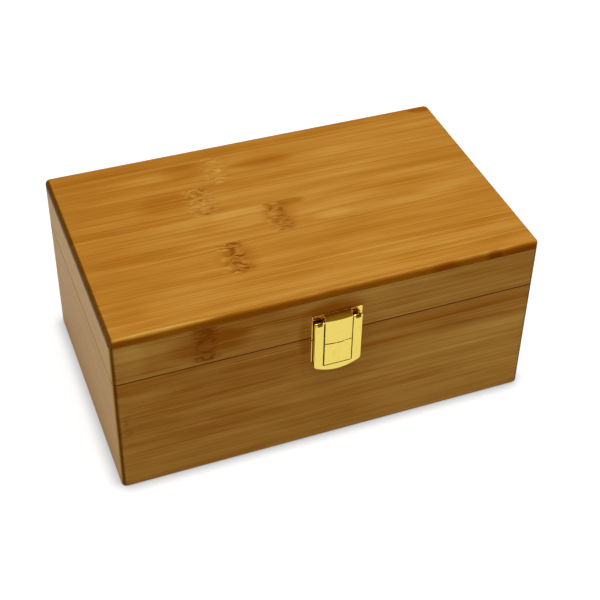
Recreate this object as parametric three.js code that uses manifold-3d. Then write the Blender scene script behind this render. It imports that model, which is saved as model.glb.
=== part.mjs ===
import * as THREE from "three";
import { mergeVertices } from "three/addons/utils/BufferGeometryUtils.js";
import Module from "manifold-3d";

const wasm = await Module();
wasm.setup();

// A lidded bamboo box with a snap latch in front and two stop hinges behind. Lengths are in millimetres and
// angles in degrees. X runs to the right, Y to the back and Z up. The origin is the middle of the underside.

// The wooden box
const WIDTH = 225;
const DEPTH = 137;
const BASE_HEIGHT = 71.5;
const LID_HEIGHT = 28;
const WALL = 8;
const TOP_BOARD = 4.5;
const BOTTOM_PANEL = 4;
const RABBET = 4;
const CORNER_EASE = 1;
const TOP_ROUND_OVER = 2;
const FOOT_ROUND_OVER = 1.2;
const PARTING_GAP = 0.3;
const GLUE_LINE = 0.1;

// The lining
const FLOOR_PAD = 2.5;
const LID_PAD = 3;
const WALL_LINING = 1.5;
const LINING_BELOW_RIM = 4;
const LINING_ROUND_OVER = 0.5;
const LINING_FIT = 0.3;

// The hinges, whose barrels stand behind the back wall
const HINGE_SPACING = 130;
const HINGE_LENGTH = 25;
const HINGE_LEAF = 1;
const HINGE_LAND = 1;
const HINGE_BARREL_RADIUS = 2;
const HINGE_PIN_RADIUS = 0.9;
const HINGE_PIN_PLAY = 0.08;
const HINGE_HEEL = 1.1;
const HINGE_PLAY = 0.2;
const HINGE_STOP_ANGLE = 98.5;
const KNUCKLES = 3;
const KNUCKLE_GAP = 0.3;
const SCREW_FROM_END = 4.5;

// The countersunk screws of the hinges
const SCREW_LENGTH = 9;
const SCREW_RADIUS = 0.9;
const SCREW_HEAD_RADIUS = 1.8;
const SCREW_HEAD_DEPTH = 0.8;
const SCREW_SLOT = 0.4;
const SCREW_SLOT_DEPTH = 0.35;

// The latch, with heights counted from the parting line
const LATCH_OFFSET = 1.4;
const LATCH_WIDTH = 26.8;
const LATCH_SHEET = 0.6;
const LATCH_TOP = 14.2;
const LATCH_FOOT = 15.9;
const PLATE_SPLIT = 1.3;
const LATCH_PIN_HEIGHT = 9.7;
const LATCH_PIN_RADIUS = 0.5;
const LATCH_PIN_PLAY = 0.1;
const LATCH_PIN_INSET = 0.4;
const LATCH_EYE_WALL = 0.7;
const LATCH_EYE_CLEARANCE = 0.25;
const STRAP_BEND = 0.9;
const STRAP_RISE = 1.05;
const STRAP_SLOPE = 43.5;
const STRAP_EASE = 0.2;
const TONGUE_WIDTH = 14.5;
const TONGUE_PROUD = 0.25;
const TONGUE_SPLIT = 3.1;
const TONGUE_SPLIT_BOW = 0.75;
const TONGUE_SPLIT_GAP = 0.35;
const TONGUE_ROOT = 1.8;
const TONGUE_LENGTH = 14.15;
const HOOK_LIP = 1.2;
const FRAME_ARM = 4.9;
const FRAME_PLAY = 0.45;
const FRAME_CORNER_DROP = 0.45;
const FRAME_CORNER_RADIUS = 1.5;
const FRAME_BOW = 3.65;
const FRAME_HOOK_GAP = 0.3;
const FRAME_NAIL_CLEARANCE = 0.3;

// The round-headed nails of the latch
const NAIL_LENGTH = 6;
const NAIL_RADIUS = 0.55;
const NAIL_HEAD_RADIUS = 1.3;
const NAIL_HEAD = 0.6;
const NAIL_INSET = 3.2;
const NAIL_FROM_EDGE = 7.5;
const FASTENER_PLAY = 0.1;

// How finely arcs are drawn, and how far a cutting shape runs past what it cuts
const CORNER_STEPS = 3;
const LINING_STEPS = 1;
const ROUND_STEPS = 24;
const FASTENER_STEPS = 16;
const DOME_STEPS = 3;
const BOW_STEPS = 10;
const OVERRUN = 1;
const HALF_TURN = 180;

// Sizes that follow from those above
const height = BASE_HEIGHT + LID_HEIGHT;
const rimBase = BASE_HEIGHT - PARTING_GAP / 2;
const rimLid = BASE_HEIGHT + PARTING_GAP / 2;
const innerWidth = WIDTH - 2 * WALL;
const innerDepth = DEPTH - 2 * WALL;
const boardUnderside = height - TOP_BOARD;
const cornerRadius = TOP_ROUND_OVER + CORNER_EASE;

const barrelOffset = HINGE_BARREL_RADIUS + HINGE_PLAY;
const leafReach = WALL - HINGE_LAND;
const hingeY = DEPTH / 2 + barrelOffset;
const screwSpacing = HINGE_LENGTH - 2 * SCREW_FROM_END;

const plateFront = GLUE_LINE + LATCH_SHEET;
const eyeBore = LATCH_PIN_RADIUS + LATCH_PIN_PLAY;
const eyeRadius = eyeBore + LATCH_EYE_WALL;
const pinOut = plateFront + LATCH_EYE_CLEARANCE + eyeRadius;
const tongueBack = pinOut + eyeBore;
const tongueFront = tongueBack + LATCH_SHEET;
const frameFront = tongueFront - TONGUE_PROUD;
const frameBack = plateFront + GLUE_LINE + NAIL_HEAD + FRAME_NAIL_CLEARANCE;
const windowHalf = TONGUE_WIDTH / 2 + FRAME_PLAY;
const frameHalf = windowHalf + FRAME_ARM;
const hookFoot = -TONGUE_SPLIT - TONGUE_SPLIT_GAP - TONGUE_LENGTH;
const windowFoot = hookFoot - FRAME_HOOK_GAP;
const frameCorner = windowFoot - FRAME_CORNER_DROP;

const FINISHES = {
  top: { color: 0xb87c2e, roughness: 0.35, metalness: 0 },
  wall: { color: 0x875d28, roughness: 0.4, metalness: 0 },
  inside: { color: 0xb58a4c, roughness: 0.6, metalness: 0 },
  gold: { color: 0xe8d168, roughness: 0.2, metalness: 1 },
  velvet: { color: 0xe6d9c0, roughness: 0.95, metalness: 0 },
};

const AXES = {
  x: new THREE.Vector3(1, 0, 0),
  y: new THREE.Vector3(0, 1, 0),
  z: new THREE.Vector3(0, 0, 1),
  front: new THREE.Vector3(0, -1, 0),
};

function radians(angle) {
  return THREE.MathUtils.degToRad(angle);
}

// A closed geometry as a solid that can be joined and cut
function solidOf(geometry) {
  const bare = geometry.clone();
  bare.deleteAttribute("normal");
  bare.deleteAttribute("uv");
  const merged = mergeVertices(bare);
  const mesh = new wasm.Mesh({
    numProp: 3,
    vertProperties: merged.attributes.position.array,
    triVerts: Uint32Array.from(merged.index.array),
  });
  return new wasm.Manifold(mesh);
}

function geometryOf(solid) {
  const mesh = solid.getMesh();
  const geometry = new THREE.BufferGeometry();
  geometry.setAttribute("position", new THREE.BufferAttribute(mesh.vertProperties, 3));
  geometry.setIndex(new THREE.BufferAttribute(mesh.triVerts, 1));
  const faceted = geometry.toNonIndexed();
  faceted.computeVertexNormals();
  return faceted;
}

// A rectangular solid between two opposite corners
function block(low, high) {
  const size = high.map((value, axis) => value - low[axis]);
  const centre = high.map((value, axis) => (value + low[axis]) / 2);
  const geometry = new THREE.BoxGeometry(...size);
  geometry.translate(...centre);
  return solidOf(geometry);
}

// An outline in the plane of Y and Z, drawn out along X to both sides of the middle
function drawnAlongX(outline, length) {
  const options = { depth: length, bevelEnabled: false, curveSegments: CORNER_STEPS };
  const geometry = new THREE.ExtrudeGeometry(outline, options);
  geometry.translate(0, 0, -length / 2);
  geometry.applyMatrix4(new THREE.Matrix4().makeBasis(AXES.y, AXES.z, AXES.x));
  return solidOf(geometry);
}

// An outline in the plane of X and Z, drawn out towards the front between two distances from the wood
function drawnToFront(outline, near, far) {
  const options = { depth: far - near, bevelEnabled: false, curveSegments: BOW_STEPS };
  const geometry = new THREE.ExtrudeGeometry(outline, options);
  geometry.translate(0, 0, near);
  geometry.applyMatrix4(new THREE.Matrix4().makeBasis(AXES.x, AXES.z, AXES.front));
  return solidOf(geometry);
}

// A rod along X whose axis passes through y and z
function rod(radius, left, right, y = 0, z = 0) {
  const geometry = new THREE.CylinderGeometry(radius, radius, right - left, ROUND_STEPS);
  geometry.rotateZ(Math.PI / 2);
  geometry.translate((left + right) / 2, y, z);
  return solidOf(geometry);
}

function polygon(points) {
  return new THREE.Shape(points.map(([x, y]) => new THREE.Vector2(x, y)));
}

function roundedRectangle(width, depth, radius) {
  const x = width / 2 - radius;
  const y = depth / 2 - radius;
  const outline = new THREE.Shape();
  outline.absarc(x, -y, radius, -Math.PI / 2, 0);
  outline.absarc(x, y, radius, 0, Math.PI / 2);
  outline.absarc(-x, y, radius, Math.PI / 2, Math.PI);
  outline.absarc(-x, -y, radius, Math.PI, 1.5 * Math.PI);
  return outline;
}

// An upright block with rounded corners, whose edges at both ends are rounded over too
function roundedBlock(width, depth, low, high, corner, roundOver, steps = CORNER_STEPS) {
  const options = {
    depth: high - low - 2 * roundOver,
    curveSegments: steps,
    bevelEnabled: true,
    bevelSegments: steps,
    bevelThickness: roundOver,
    bevelSize: roundOver,
    bevelOffset: -roundOver,
  };
  const geometry = new THREE.ExtrudeGeometry(roundedRectangle(width, depth, corner), options);
  geometry.translate(0, 0, low + roundOver);
  return solidOf(geometry);
}

// The space that one mitred board takes in its frame, out to past its face and in to past its thickness
function mitreWedge(length, reach, low, high) {
  const cut = GLUE_LINE * Math.SQRT1_2;
  const inward = WALL + OVERRUN;
  const outer = length / 2 + OVERRUN - cut;
  const inner = length / 2 - inward - cut;
  const outline = polygon([
    [-outer, -reach - OVERRUN],
    [outer, -reach - OVERRUN],
    [inner, -reach + inward],
    [-inner, -reach + inward],
  ]);
  const geometry = new THREE.ExtrudeGeometry(outline, { depth: high - low, bevelEnabled: false });
  geometry.translate(0, 0, low);
  return solidOf(geometry);
}

// The boards are drawn as seen from their own side, with the outer face looking along -Y
function baseBoard(length, reach) {
  const across = 2 * reach;
  const bevelTop = BASE_HEIGHT + 2 * FOOT_ROUND_OVER;
  const outside = roundedBlock(length, across, 0, bevelTop, cornerRadius, FOOT_ROUND_OVER);
  const inside = block(
    [WALL - length / 2, WALL - reach, -OVERRUN],
    [length / 2 - WALL, reach - WALL, BASE_HEIGHT + OVERRUN],
  );
  const bed = WALL - RABBET;
  const rabbet = block(
    [bed - length / 2, bed - reach, -OVERRUN],
    [length / 2 - bed, reach - bed, BOTTOM_PANEL + GLUE_LINE],
  );
  const wedge = mitreWedge(length, reach, 0, rimBase);
  return outside.subtract(inside).subtract(rabbet).intersect(wedge);
}

function lidRail(length, reach) {
  const across = 2 * reach;
  const low = BASE_HEIGHT - OVERRUN;
  const outline = roundedRectangle(length, across, cornerRadius);
  const options = { depth: height - low, bevelEnabled: false, curveSegments: CORNER_STEPS };
  const geometry = new THREE.ExtrudeGeometry(outline, options);
  geometry.translate(0, 0, low);
  const inside = block(
    [WALL - length / 2, WALL - reach, low - OVERRUN],
    [length / 2 - WALL, reach - WALL, height + OVERRUN],
  );
  const wedge = mitreWedge(length, reach, rimLid, boardUnderside - GLUE_LINE);
  return solidOf(geometry).subtract(inside).intersect(wedge);
}

// A recess for each hinge leaf in the rim of a back board, open towards the barrel
function hingeRecesses(rim, side) {
  const reach = DEPTH / 2;
  const deep = rim + side * (HINGE_LEAF + GLUE_LINE);
  const open = rim - side * OVERRUN;
  return [-1, 1].map((hand) => {
    const middle = (hand * HINGE_SPACING) / 2;
    const half = HINGE_LENGTH / 2 + FASTENER_PLAY;
    return block(
      [middle - half, -reach - OVERRUN, Math.min(deep, open)],
      [middle + half, -reach + leafReach + FASTENER_PLAY, Math.max(deep, open)],
    );
  });
}

// A profile of radii and places along Y, turned about Y
function lathe(points) {
  const profile = points.map(([radius, y]) => new THREE.Vector2(radius, y));
  return new THREE.LatheGeometry(profile, FASTENER_STEPS);
}

// Fasteners lie along Y with the head's seat at the origin. Play makes the room that each needs in its hole.
function screwProfile(play) {
  const shank = SCREW_RADIUS + play;
  const tip = -SCREW_LENGTH - play;
  return [[0, tip], [shank, tip + 2 * shank], [shank, -SCREW_HEAD_DEPTH], [SCREW_HEAD_RADIUS + play, 0]];
}

function screwHole() {
  const rim = SCREW_HEAD_RADIUS + FASTENER_PLAY;
  return lathe([...screwProfile(FASTENER_PLAY), [rim, FASTENER_PLAY], [0, FASTENER_PLAY]]);
}

function crossHeadScrew() {
  const reach = SCREW_HEAD_RADIUS - SCREW_SLOT;
  const half = SCREW_SLOT / 2;
  const cross = [
    block([-reach, -SCREW_SLOT_DEPTH, -half], [reach, OVERRUN, half]),
    block([-half, -SCREW_SLOT_DEPTH, -reach], [half, OVERRUN, reach]),
  ];
  return cutAll(solidOf(lathe([...screwProfile(0), [0, 0]])), cross);
}

function nailProfile(play) {
  const shank = NAIL_RADIUS + play;
  const tip = -NAIL_LENGTH - play;
  return [[0, tip], [shank, tip + 2 * shank], [shank, 0]];
}

function nailHole() {
  return lathe([...nailProfile(FASTENER_PLAY), [0, 0]]);
}

// The head is a cap of a ball that is as wide and as high as the head
function roundNail() {
  const ball = (NAIL_HEAD_RADIUS ** 2 + NAIL_HEAD ** 2) / (2 * NAIL_HEAD);
  const widest = Math.asin(NAIL_HEAD_RADIUS / ball);
  const dome = Array.from({ length: DOME_STEPS }, (_, step) => {
    const lean = widest * (1 - step / DOME_STEPS);
    return [ball * Math.sin(lean), NAIL_HEAD - ball * (1 - Math.cos(lean))];
  });
  return lathe([...nailProfile(0), ...dome, [0, NAIL_HEAD]]);
}

// Turns a fastener along Y so that its head looks up, down or to the front
const FACING = { up: Math.PI / 2, down: -Math.PI / 2, front: Math.PI };

function fastenerHole(geometry, facing, [x, y, z]) {
  const hole = geometry.clone();
  hole.rotateX(FACING[facing]);
  hole.translate(x, y, z);
  return solidOf(hole);
}

// Where the screws go in a back board, seen from its own side, and the nails in a front one
function hingeScrewPlaces(rim) {
  return [-1, 1].flatMap((hand) =>
    [-1, 1].map((end) => [
      (hand * HINGE_SPACING + end * screwSpacing) / 2,
      leafReach / 2 - DEPTH / 2,
      rim,
    ]),
  );
}

function nailPlaces(sign) {
  const edge = sign > 0 ? LATCH_TOP : LATCH_FOOT;
  return [-1, 1].map((hand) => [
    hand * (LATCH_WIDTH / 2 - NAIL_INSET),
    -plateFront - GLUE_LINE,
    sign * (edge - NAIL_FROM_EDGE),
  ]);
}

function cutAll(solid, cutters) {
  return cutters.reduce((left, cutter) => left.subtract(cutter), solid);
}

// The holes that a board needs for what is fastened to it
function holesInBoard(side, part) {
  const isLid = part === "lid";
  if (side === "back") {
    const rim = isLid ? rimLid : rimBase;
    const facing = isLid ? "down" : "up";
    const holes = hingeScrewPlaces(rim).map((place) => fastenerHole(screwHole(), facing, place));
    return [...hingeRecesses(rim, isLid ? 1 : -1), ...holes];
  }
  if (side === "front") {
    return nailPlaces(isLid ? 1 : -1).map(([x, y, z]) =>
      fastenerHole(nailHole(), "front", [x + LATCH_OFFSET, y - DEPTH / 2, z + BASE_HEIGHT]),
    );
  }
  return [];
}

function topBoard() {
  const low = boardUnderside - 2 * TOP_ROUND_OVER;
  const board = roundedBlock(WIDTH, DEPTH, low, height, cornerRadius, TOP_ROUND_OVER);
  const kept = block([-WIDTH, -DEPTH, boardUnderside], [WIDTH, DEPTH, height + OVERRUN]);
  return board.intersect(kept);
}

function bottomPanel() {
  const inset = 2 * (WALL - RABBET + GLUE_LINE);
  return new THREE.BoxGeometry(WIDTH - inset, DEPTH - inset, BOTTOM_PANEL);
}

// A pad's edges are rounded over by no more than a third of its thickness
function pad(width, depth, thickness) {
  const roundOver = Math.min(LINING_ROUND_OVER, thickness / 3);
  return roundedBlock(width, depth, 0, thickness, 2 * roundOver, roundOver, LINING_STEPS);
}

// A hinge leaf about its pin, let into the rim below. The lid's leaf is the same turned over.
function hingeLeaf(owned) {
  const leafTop = -PARTING_GAP / 2;
  const half = HINGE_LENGTH / 2;
  const woodFace = -HINGE_BARREL_RADIUS;
  const plate = block(
    [-half, -barrelOffset - leafReach, leafTop - HINGE_LEAF],
    [half, woodFace + GLUE_LINE, leafTop],
  );
  const heelRadius = HINGE_BARREL_RADIUS + HINGE_HEEL;
  const heelOutline = new THREE.Shape();
  heelOutline.absarc(0, 0, heelRadius, -Math.PI, -radians(HINGE_STOP_ANGLE / 2));
  heelOutline.lineTo(0, 0);
  const heel = drawnAlongX(heelOutline, HINGE_LENGTH).intersect(
    block([-half, woodFace, -heelRadius - OVERRUN], [half, heelRadius, leafTop - GLUE_LINE]),
  );
  let leaf = plate.add(heel);
  const pitch = HINGE_LENGTH / KNUCKLES;
  for (let index = 0; index < KNUCKLES; index += 1) {
    const left = index * pitch - half;
    const inside = KNUCKLE_GAP / 2;
    const start = index === 0 ? left : left + inside;
    const end = index === KNUCKLES - 1 ? left + pitch : left + pitch - inside;
    if (owned(index)) {
      leaf = leaf.add(rod(HINGE_BARREL_RADIUS, start, end));
    } else {
      const room = HINGE_BARREL_RADIUS + HINGE_PLAY;
      const from = index === 0 ? start - OVERRUN : start - KNUCKLE_GAP;
      const to = index === KNUCKLES - 1 ? end + OVERRUN : end + KNUCKLE_GAP;
      leaf = leaf.subtract(rod(room, from, to));
    }
  }
  leaf = leaf.subtract(rod(HINGE_PIN_RADIUS + HINGE_PIN_PLAY, -half - OVERRUN, half + OVERRUN));
  const holes = [-1, 1].map((end) =>
    fastenerHole(screwHole(), "up", [(end * screwSpacing) / 2, -barrelOffset - leafReach / 2, leafTop]),
  );
  return cutAll(leaf, holes);
}

// The latch is drawn about the point of the wood's face on the parting line below its middle. Its outlines in
// the plane of Y and Z use distances to the front, which are turned into Y here.
function latchProfile(points, width) {
  return drawnAlongX(polygon(points.map(([out, z]) => [-out, z])), width);
}

function latchPlate(low, high) {
  return block([-LATCH_WIDTH / 2, -plateFront, low], [LATCH_WIDTH / 2, -GLUE_LINE, high]);
}

function arcPoints(centreOut, centreZ, radius, from, to) {
  return Array.from({ length: BOW_STEPS + 1 }, (_, step) => {
    const angle = radians(from + ((to - from) * step) / BOW_STEPS);
    return [centreOut + radius * Math.cos(angle), centreZ + radius * Math.sin(angle)];
  });
}

// All that lies above the bowed split between the tongue's halves, lowered by a drop
function aboveSplit(drop) {
  const half = TONGUE_WIDTH / 2 + OVERRUN;
  const edge = -TONGUE_SPLIT - drop;
  const outline = new THREE.Shape();
  outline.moveTo(-half, edge);
  outline.quadraticCurveTo(0, edge - 2 * TONGUE_SPLIT_BOW, half, edge);
  outline.lineTo(half, LATCH_TOP + OVERRUN);
  outline.lineTo(-half, LATCH_TOP + OVERRUN);
  return drawnToFront(outline, GLUE_LINE, tongueFront + OVERRUN);
}

// The lid's plate slopes forward over the pin and hangs down as the upper half of the tongue
function lidPlate() {
  const rooted = plateFront - LATCH_SHEET / 2;
  const bendHeight = LATCH_PIN_HEIGHT + STRAP_RISE;
  const bend = arcPoints(tongueFront - STRAP_BEND, bendHeight, STRAP_BEND, 0, STRAP_SLOPE);
  const inside = arcPoints(pinOut, LATCH_PIN_HEIGHT, eyeBore, HALF_TURN, 0);
  const shoulder = LATCH_PIN_HEIGHT - LATCH_EYE_WALL;
  const lowest = -TONGUE_SPLIT - 2 * TONGUE_SPLIT_BOW;
  const points = [
    [tongueFront, lowest],
    ...bend,
    [plateFront, LATCH_TOP - STRAP_EASE],
    [rooted, LATCH_TOP - STRAP_EASE],
    [rooted, shoulder],
    [pinOut - eyeBore, shoulder],
    ...inside,
    [tongueBack, lowest],
  ];
  const tongue = latchProfile(points, TONGUE_WIDTH).intersect(aboveSplit(0));
  const holes = nailPlaces(1).map((place) => fastenerHole(nailHole(), "front", place));
  return cutAll(latchPlate(PARTING_GAP - PLATE_SPLIT, LATCH_TOP).add(tongue), holes);
}

// The base's plate carries the lower half of the tongue, whose lip the frame snaps under
function catchPlate() {
  const rooted = plateFront - LATCH_SHEET / 2;
  const top = -TONGUE_SPLIT - TONGUE_SPLIT_GAP;
  const web = top - TONGUE_ROOT;
  const hookTop = hookFoot + LATCH_SHEET;
  const lip = tongueBack - HOOK_LIP;
  const points = [
    [tongueFront, hookFoot],
    [tongueFront, top],
    [rooted, top],
    [rooted, web],
    [tongueBack, web],
    [tongueBack, hookTop],
    [lip, hookTop],
    [lip, hookFoot],
  ];
  const tongue = latchProfile(points, TONGUE_WIDTH).subtract(aboveSplit(TONGUE_SPLIT_GAP));
  const holes = nailPlaces(-1).map((place) => fastenerHole(nailHole(), "front", place));
  return cutAll(latchPlate(-LATCH_FOOT, -PARTING_GAP - PLATE_SPLIT).add(tongue), holes);
}

// The U-shaped frame hangs from two eyes and is drawn about the latch's own point like the plates
function latchFrame() {
  const slope = (2 * FRAME_BOW) / frameHalf;
  const run = FRAME_CORNER_RADIUS / Math.hypot(1, slope);
  const cornerEnd = frameCorner - slope * run;
  const outline = new THREE.Shape();
  outline.moveTo(-frameHalf, LATCH_PIN_HEIGHT);
  outline.lineTo(-frameHalf, frameCorner + FRAME_CORNER_RADIUS);
  outline.quadraticCurveTo(-frameHalf, frameCorner, run - frameHalf, cornerEnd);
  outline.quadraticCurveTo(0, frameCorner - 2 * FRAME_BOW, frameHalf - run, cornerEnd);
  outline.quadraticCurveTo(frameHalf, frameCorner, frameHalf, frameCorner + FRAME_CORNER_RADIUS);
  outline.lineTo(frameHalf, LATCH_PIN_HEIGHT);
  outline.lineTo(windowHalf, LATCH_PIN_HEIGHT);
  outline.lineTo(windowHalf, windowFoot);
  outline.lineTo(-windowHalf, windowFoot);
  outline.lineTo(-windowHalf, LATCH_PIN_HEIGHT);
  return drawnToFront(outline, frameBack, frameFront)
    .add(rod(eyeRadius, -frameHalf, -windowHalf, -pinOut, LATCH_PIN_HEIGHT))
    .add(rod(eyeRadius, windowHalf, frameHalf, -pinOut, LATCH_PIN_HEIGHT))
    .subtract(rod(eyeBore, -frameHalf - OVERRUN, frameHalf + OVERRUN, -pinOut, LATCH_PIN_HEIGHT));
}

// Each piece is a mesh with its own name and material
function named(name, shape, finish) {
  const geometry = shape.isBufferGeometry ? shape : geometryOf(shape);
  const mesh = new THREE.Mesh(geometry, new THREE.MeshStandardMaterial(FINISHES[finish]));
  mesh.name = name;
  return mesh;
}

// A group that turns about a point of the box, and the group inside it that holds pieces in the box's frame
function turningGroup(parent, [x, y, z]) {
  const turning = new THREE.Group();
  turning.position.set(x, y, z);
  const pieces = new THREE.Group();
  pieces.position.set(-x, -y, -z);
  turning.add(pieces);
  parent.add(turning);
  return pieces;
}

const SIDES = [
  { side: "front", turn: 0, length: WIDTH, reach: DEPTH / 2 },
  { side: "right", turn: 90, length: DEPTH, reach: WIDTH / 2 },
  { side: "back", turn: 180, length: WIDTH, reach: DEPTH / 2 },
  { side: "left", turn: 270, length: DEPTH, reach: WIDTH / 2 },
];

function addBoards(base, lid) {
  SIDES.forEach(({ side, turn, length, reach }) => {
    const board = cutAll(baseBoard(length, reach), holesInBoard(side, "base"));
    const wall = named(`base_${side}_wall`, board, "wall");
    wall.rotation.z = radians(turn);
    base.add(wall);
    const railBoard = cutAll(lidRail(length, reach), holesInBoard(side, "lid"));
    const rail = named(`lid_${side}_rail`, railBoard, "wall");
    rail.rotation.z = radians(turn);
    lid.add(rail);
  });
  const panel = named("base_bottom_panel", bottomPanel(), "inside");
  panel.position.z = BOTTOM_PANEL / 2;
  base.add(panel);
  lid.add(named("lid_top_board", topBoard(), "top"));
}

// Each wall lining stands on the floor pad. Those in front and behind run between the other two.
function addLining(base, lid) {
  const floorTop = BOTTOM_PANEL + GLUE_LINE + FLOOR_PAD;
  const width = innerWidth - 2 * LINING_FIT;
  const depth = innerDepth - 2 * LINING_FIT;
  const floor = named("base_floor_lining", pad(width, depth, FLOOR_PAD), "velvet");
  floor.position.z = BOTTOM_PANEL + GLUE_LINE;
  base.add(floor);
  const tall = rimBase - LINING_BELOW_RIM - floorTop - LINING_FIT;
  const ends = 2 * (WALL_LINING + LINING_FIT + GLUE_LINE);
  SIDES.forEach(({ side, turn, length, reach }) => {
    const runs = side === "front" || side === "back";
    const long = length - 2 * WALL - 2 * LINING_FIT - (runs ? ends : 0);
    const lining = named(`base_${side}_lining`, pad(long, tall, WALL_LINING), "velvet");
    lining.rotation.x = Math.PI / 2;
    const place = new THREE.Group();
    place.rotation.z = radians(turn);
    const out = reach - WALL - GLUE_LINE;
    lining.position.set(0, WALL_LINING - out, floorTop + LINING_FIT + tall / 2);
    place.add(lining);
    base.add(place);
  });
  const lidPad = named("lid_lining", pad(width, depth, LID_PAD), "velvet");
  lidPad.position.z = boardUnderside - GLUE_LINE - LID_PAD;
  lid.add(lidPad);
}

function addHinges(base, lid) {
  const isLidKnuckle = (index) => index % 2 === 1;
  ["left", "right"].forEach((hand, index) => {
    const x = ((2 * index - 1) * HINGE_SPACING) / 2;
    const baseLeaf = named(`hinge_${hand}_base_leaf`, hingeLeaf((k) => !isLidKnuckle(k)), "gold");
    baseLeaf.position.set(x, hingeY, BASE_HEIGHT);
    base.add(baseLeaf);
    const lidLeaf = named(`hinge_${hand}_lid_leaf`, hingeLeaf(isLidKnuckle), "gold");
    lidLeaf.position.set(x, hingeY, BASE_HEIGHT);
    lidLeaf.rotation.y = Math.PI;
    lid.add(lidLeaf);
    const half = HINGE_LENGTH / 2;
    const pin = named(`hinge_${hand}_pin`, rod(HINGE_PIN_RADIUS, -half, half), "gold");
    pin.position.set(x, hingeY, BASE_HEIGHT);
    base.add(pin);
    ["outer", "inner"].forEach((end, order) => {
      const towards = (order === 0 ? 1 : -1) * (2 * index - 1);
      const place = [x + (towards * screwSpacing) / 2, hingeY - barrelOffset - leafReach / 2];
      const lower = named(`hinge_${hand}_base_${end}_screw`, crossHeadScrew(), "gold");
      lower.position.set(...place, rimBase);
      lower.rotation.x = FACING.up;
      base.add(lower);
      const upper = named(`hinge_${hand}_lid_${end}_screw`, crossHeadScrew(), "gold");
      upper.position.set(...place, rimLid);
      upper.rotation.x = FACING.down;
      lid.add(upper);
    });
  });
}

function addLatch(base, lid) {
  const middle = [LATCH_OFFSET, -DEPTH / 2, BASE_HEIGHT];
  const onLid = new THREE.Group();
  onLid.position.set(...middle);
  lid.add(onLid);
  const onBase = new THREE.Group();
  onBase.position.set(...middle);
  base.add(onBase);
  onLid.add(named("latch_lid_plate", lidPlate(), "gold"));
  onBase.add(named("latch_catch_plate", catchPlate(), "gold"));
  const pinEnd = frameHalf - LATCH_PIN_INSET;
  const pin = named("latch_pin", rod(LATCH_PIN_RADIUS, -pinEnd, pinEnd), "gold");
  pin.position.set(0, -pinOut, LATCH_PIN_HEIGHT);
  onLid.add(pin);
  const swing = turningGroup(onLid, [0, -pinOut, LATCH_PIN_HEIGHT]);
  swing.add(named("latch_frame", latchFrame(), "gold"));
  [
    ["lid", 1, onLid],
    ["catch", -1, onBase],
  ].forEach(([plate, sign, group]) =>
    nailPlaces(sign).forEach((place, index) => {
      const hand = index === 0 ? "left" : "right";
      const nail = named(`latch_${plate}_${hand}_nail`, roundNail(), "gold");
      nail.position.set(...place);
      nail.rotation.x = FACING.front;
      group.add(nail);
    }),
  );
}

const box = new THREE.Group();
const base = new THREE.Group();
box.add(base);
const lid = turningGroup(box, [0, hingeY, BASE_HEIGHT]);
addBoards(base, lid);
addLining(base, lid);
addHinges(base, lid);
addLatch(base, lid);

export default box;
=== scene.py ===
import math

import bmesh
import bpy
from mathutils import Matrix, Vector


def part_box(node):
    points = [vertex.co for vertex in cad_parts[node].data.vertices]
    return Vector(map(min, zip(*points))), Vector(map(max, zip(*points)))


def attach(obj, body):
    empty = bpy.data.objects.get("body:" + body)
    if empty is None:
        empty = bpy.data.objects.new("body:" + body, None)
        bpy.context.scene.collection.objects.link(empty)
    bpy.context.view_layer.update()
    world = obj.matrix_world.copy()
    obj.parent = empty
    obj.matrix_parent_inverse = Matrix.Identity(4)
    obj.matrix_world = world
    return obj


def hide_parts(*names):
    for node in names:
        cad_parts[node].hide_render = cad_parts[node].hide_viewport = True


bl_info = {
    "name": "Bamboo Jewelry Box",
    "version": (1, 0, 0),
    "blender": (4, 5, 0),
    "location": "View3D > Sidebar > Jewelry Box",
    "description": "Models the boards, lining, hinges and latch of a lidded bamboo box",
    "category": "Object",
}

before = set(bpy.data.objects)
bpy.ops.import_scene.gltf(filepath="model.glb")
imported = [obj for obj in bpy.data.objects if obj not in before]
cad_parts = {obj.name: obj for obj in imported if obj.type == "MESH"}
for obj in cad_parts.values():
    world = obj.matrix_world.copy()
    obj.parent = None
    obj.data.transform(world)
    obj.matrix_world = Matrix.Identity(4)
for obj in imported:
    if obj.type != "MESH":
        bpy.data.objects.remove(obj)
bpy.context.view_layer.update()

MM = 0.001
NEAR = 0.01 * MM
# How far a cutting shape runs past what it cuts
OVERRUN = 1 * MM
# How far the latch's strap turns at its bend over the pin, in degrees
STRAP_TURN = 43.5
BOARD_LOW, BOARD_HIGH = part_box("lid_top_board")
WALL_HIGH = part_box("base_front_wall")[1]
RAIL_LOW, RAIL_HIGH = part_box("lid_front_rail")
WIDTH = BOARD_HIGH.x - BOARD_LOW.x
DEPTH = BOARD_HIGH.y - BOARD_LOW.y
HEIGHT = BOARD_HIGH.z
PARTING = (WALL_HIGH.z + RAIL_LOW.z) / 2
SIDES = (("front", 0), ("right", 90), ("back", 180), ("left", 270))


def linear(red, green, blue):
    """A colour as it is seen on a screen, from 0 to 255, as the values that Blender works with."""

    def channel(value):
        value /= 255
        return value / 12.92 if value <= 0.04045 else ((value + 0.055) / 1.055) ** 2.4

    return tuple(channel(value) for value in (red, green, blue))


# ---------------------------------------------------------------- sizes and colours


def length(name, millimetres, description):
    return bpy.props.FloatProperty(
        name=name,
        description=description,
        default=millimetres * MM,
        min=0,
        precision=5,
        subtype="DISTANCE",
        unit="LENGTH",
    )


def amount(name, default, description):
    return bpy.props.FloatProperty(
        name=name, description=description, default=default, min=0, max=1, subtype="FACTOR"
    )


def angle(name, degrees, description):
    return bpy.props.FloatProperty(
        name=name, description=description, default=math.radians(degrees), subtype="ANGLE", unit="ROTATION"
    )


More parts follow.
